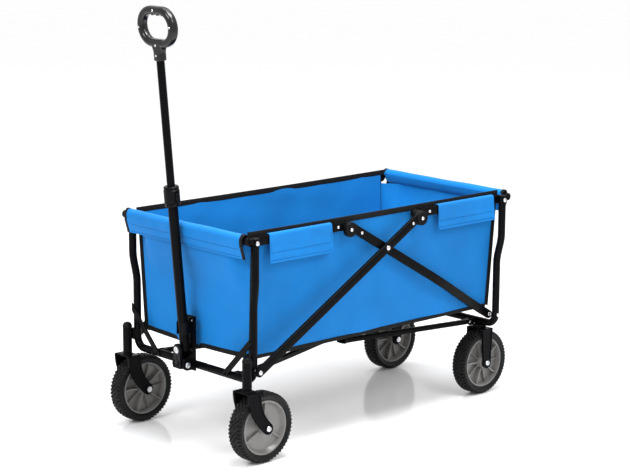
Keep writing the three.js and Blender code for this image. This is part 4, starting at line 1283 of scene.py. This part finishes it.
def end_fabric(end, side):
    """An end wall, the sleeve over its top bar, and the tapes along its edges."""
    body = f"{end}_frame"
    cloth_piece(f"{end}_fabric_panel",
                grid(64, 40, lambda u, v: end_panel_point(side, u, mix(TUB_LOW_Z + 2, SEAM_Z + 1, v))), body,
                nodes=["fabric_tub"] if side < 0 else [])
    profile = spline([Vector((0, y, z)) for y, z in sleeve_profile(side)], 3)

    def place(u, v):
        point, before = at_share(profile, v)
        outer = before > CREST
        x = (2 * u - 1) * sleeve_half(point.z, outer) - SLEEVE_OFFSET * side * outer
        swell = max(0.0, sin(pi * (point.z - HEM_Z) / 90)) * (2.2 if outer else 0.6)
        pucker = ripple(x * 2.2, point.z * 2.0, 5.0 + side) * (1.0 if outer else 0.5)
        hang = 1.3 if outer and point.z < TOP_BAR_Z else 0.4
        wave = 0.8 * ripple(x, 30, 2.2) * (point.z > TOP_BAR_Z)
        return x, point.y + side * (0.5 + swell + pucker * hang * 0.7), point.z + wave

    cloth_piece(f"{end}_fabric_sleeve", grid(96, len(profile) - 1, place), body)
    count = len(profile) - 1
    for name, mirror in SIDES:
        edge = [place((1 + mirror) / 2, i / count) for i in range(CREST - 16, count + 1)]
        binding(f"{end}_sleeve_binding_{name}", edge, 10, 3.6, (1, 0, 0), body, 1.7)
        heights = [mix(TUB_LOW_Z + 4, SEAM_Z + 24, i / 30) for i in range(31)]
        corner = [(mirror * (tub_x(z) + 2.6), side * (tub_y(z) + 2.6), z) for z in heights]
        binding(f"{end}_corner_binding_{name}", corner, 3.4, 11, (1, -mirror * side, 0), body)
    outward = Vector((0, side, 0))
    for label, z in (("seam", SEAM_Z), ("hem", HEM_Z + 5)):
        share = share_at_height(profile, z)
        line = [Vector(place(mix(0.03, 0.97, i / 96), share)) + outward * PROUD for i in range(97)]
        stitches(f"{end}_sleeve_{label}_stitches", line, outward, body)
    foot = [(mix(-TUB_LOW_X + 2, TUB_LOW_X - 2, i / 40), side * (TUB_LOW_Y + 1.2),
             TUB_LOW_Z + 8 - 5 * sin(pi * i / 40)) for i in range(41)]
    binding(f"{end}_foot_binding", foot, 4.2, 13, (0, 1, 0), body, 1.8)


def side_span(piece):
    """Gives a piece that spans the tub's length its own copy of its mesh."""
    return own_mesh(piece)


def gather(piece):
    """Gives a flap's piece its own copy of its mesh."""
    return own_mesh(piece)


def side_wall_point(side, u, z):
    y = mix(-tub_y(z) + 1, tub_y(z) - 1, u)
    fade = min(1.0, (1 - abs(2 * u - 1)) * 8, (TUB_TOP_Z - z) / 30)
    belly = sin(pi * min(1.0, tub_share(z))) * sin(pi * u)
    return side * (tub_x(z) + fade * (1.4 * belly + 1.5 * ripple(y, z, 1.3 + side))), y, z


def side_fabric(name, side):
    """A side wall with its two tapes, and the flaps over its rails."""
    def place(u, v):
        return side_wall_point(side, u, mix(TUB_LOW_Z + 2, TUB_TOP_Z - 2, v))

    wall = cloth_piece(f"side_wall_{name}", grid(110, 44, place), "front_frame")
    side_span(wall)
    reach = TUB_Y + 13
    tape = [(side * (TUB_X + 0.2), mix(-reach, reach, i / 60), TUB_TOP_Z - 7.5 - 1.6 * sin(pi * i / 60))
            for i in range(61)]
    side_span(binding(f"side_top_binding_{name}", tape, 3.8, 15, (1, 0, 0), "front_frame"))
    foot = [(side * (TUB_LOW_X + 0.8), mix(-TUB_LOW_Y, TUB_LOW_Y, i / 60), TUB_LOW_Z + 3.5)
            for i in range(61)]
    side_span(binding(f"side_foot_binding_{name}", foot, 4.2, 10, (1, 0, 0), "front_frame", 1.8))
    for end in FLAPS:
        rail_flap(end, name, side)


def rail_flap(end, name, side):
    """A strip of the wall's cloth turned over the rail and sewn down outside it."""
    near, far, drop = FLAPS[end]
    body = f"{end}_rails"
    edge = RAIL_X + BAR_THICK / 2
    top = TOP_PIVOT_Z + BAR_TALL / 2
    seam = mix(top, drop, 0.65)
    keys = [(TUB_X + 0.8, top - 6), (RAIL_X - 4.4, top + 1.5), (RAIL_X, top + 2.2), (edge - 0.6, top + 1.6),
            (edge + 1.6, top - 2.5), (edge + 2.4, top - 12), (edge + 3.2, top - 28), (edge + 4.2, seam),
            (edge + 5.2, mix(top, drop, 0.82)), (edge + 5.8, drop)]
    profile = spline([Vector((x, 0, z)) for x, z in keys], 4)

    def place(u, v):
        point, _ = at_share(profile, v)
        y = mix(near, far, u) + (2 * u - 1) * 2.0 * (v > 0.4) * smooth((v - 0.4) / 0.5)
        loose = smooth((top - point.z - 6) / 20)
        return side * (point.x + loose * 1.1 * ripple(y * 2.4, point.z * 2, 7.7 + side + near)), y, point.z

    gather(cloth_piece(f"{end}_rail_flap_{name}", grid(48, len(profile) - 1, place), body))
    outward = Vector((side, 0, 0))
    seam_share, hem_share, high = (share_at_height(profile, z) for z in (seam, drop + 5, top - 6))
    lines = {"seam": [place(mix(0.02, 0.98, i / 48), seam_share) for i in range(49)],
             "hem": [place(mix(0.02, 0.98, i / 48), hem_share) for i in range(49)],
             "near": [place(0.025, mix(high, 0.98, i / 24)) for i in range(25)],
             "far": [place(0.975, mix(high, 0.98, i / 24)) for i in range(25)]}
    for label, line in lines.items():
        line = [Vector(point) + outward * PROUD for point in line]
        gather(stitches(f"{end}_flap_{label}_stitches_{name}", line, outward, body))
    hem = [place(i / 48, 1) for i in range(49)]
    gather(binding(f"{end}_flap_hem_{name}", hem, 2.8, 4.2, (1, 0, 0), body, 1.2, BLUE))


def floor_fabric():
    def place(u, v):
        z = TUB_LOW_Z + 1.4 + 0.4 * ripple(u * 400, v * 800, 4.4)
        return (2 * u - 1) * (TUB_LOW_X - 1), (2 * v - 1) * (TUB_LOW_Y - 1), z

    floor = cloth_piece("floor_fabric", grid(40, 60, place), "front_frame", BINDING)
    side_span(floor)


def mat_leaf(end, side):
    """Half of the padded floor mat: a slab puffed by a cloth simulation, then sewn across in channels."""
    low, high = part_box("floor_mat")
    half_x = (high.x - low.x) / (2 * MM) - 2
    far = (high.y - low.y) / (2 * MM) - 2
    y0, y1 = sorted((side * MAT_GAP, side * far))
    under, top = low.z / MM + 0.4, high.z / MM - 1.6
    thick = top - under
    outline = rounded_rect(2 * half_x, y1 - y0, 14, 5)
    slab = shifted(plate(outline, -thick / 2, thick / 2, "xy"), 0, (y0 + y1) / 2, (under + top) / 2)
    piece = make(f"mat_leaf_{end}", slab, MAT, None, bevel=2.4, segments=3, ride=False)
    puff(piece)
    channels(piece, y0, y1, top)
    piece.data.shade_smooth()
    if side < 0:
        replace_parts(piece, "floor_mat")
    return piece


def puff(piece):
    """Voxel remesh, inflate for a few frames, cap the travel, and keep the result."""
    voxels = piece.modifiers.new("voxels", "REMESH")
    voxels.mode = "VOXEL"
    voxels.voxel_size = 5 * MM
    applied(piece)
    rest = [v.co.copy() for v in piece.data.vertices]
    cloth = piece.modifiers.new("cloth", "CLOTH")
    cloth.settings.use_pressure = True
    cloth.settings.uniform_pressure_force = 4
    cloth.settings.effector_weights.gravity = 0
    cloth.point_cache.frame_start = 1
    cloth.point_cache.frame_end = 20
    scene = bpy.context.scene
    for count in range(1, 21):
        scene.frame_set(count)
    applied(piece)
    scene.frame_set(1)
    cap = PUFF_LIMIT * MM
    for vertex, home in zip(piece.data.vertices, rest):
        away = vertex.co - home
        if away.length > cap:
            vertex.co = home + away.normalized() * cap


def channels(piece, y0, y1, top):
    """Sewn lines across the leaf, pressed into its upper face."""
    fine = piece.modifiers.new("fine", "SUBSURF")
    fine.levels = fine.render_levels = 1
    applied(piece)
    lines = [mix(y0, y1, share) for share in (0.25, 0.5, 0.75)]
    for vertex in piece.data.vertices:
        y = vertex.co.y / MM - SHIFT
        near = min(abs(y - line) for line in lines)
        if vertex.co.z / MM > top - 4:
            vertex.co.z -= CHANNEL_DEPTH * MM * (1 - smooth(near / 7))


def mat():
    """Both leaves of the mat, each with its place made part of its mesh."""
    for end, side in ENDS:
        leaf = mat_leaf(end, side)
        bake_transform(leaf)


# ---- build ----
camera()
studio()
for end_name, end_side in ENDS:
    end_frame(end_name, end_side)
front_fittings()
for side_name, side_sign in SIDES:
    scissor(side_name, side_sign)
for end_name, end_side in ENDS:
    for side_name, side_sign in SIDES:
        floor_link(end_name, end_side, side_name, side_sign)
finish_cad("floor_hub", STEEL, 0.8)
wheels()
handle_base()
handle_tubes()
grip()
for end_name, end_side in ENDS:
    end_fabric(end_name, end_side)
for side_name, side_sign in SIDES:
    side_fabric(side_name, side_sign)
floor_fabric()
mat()
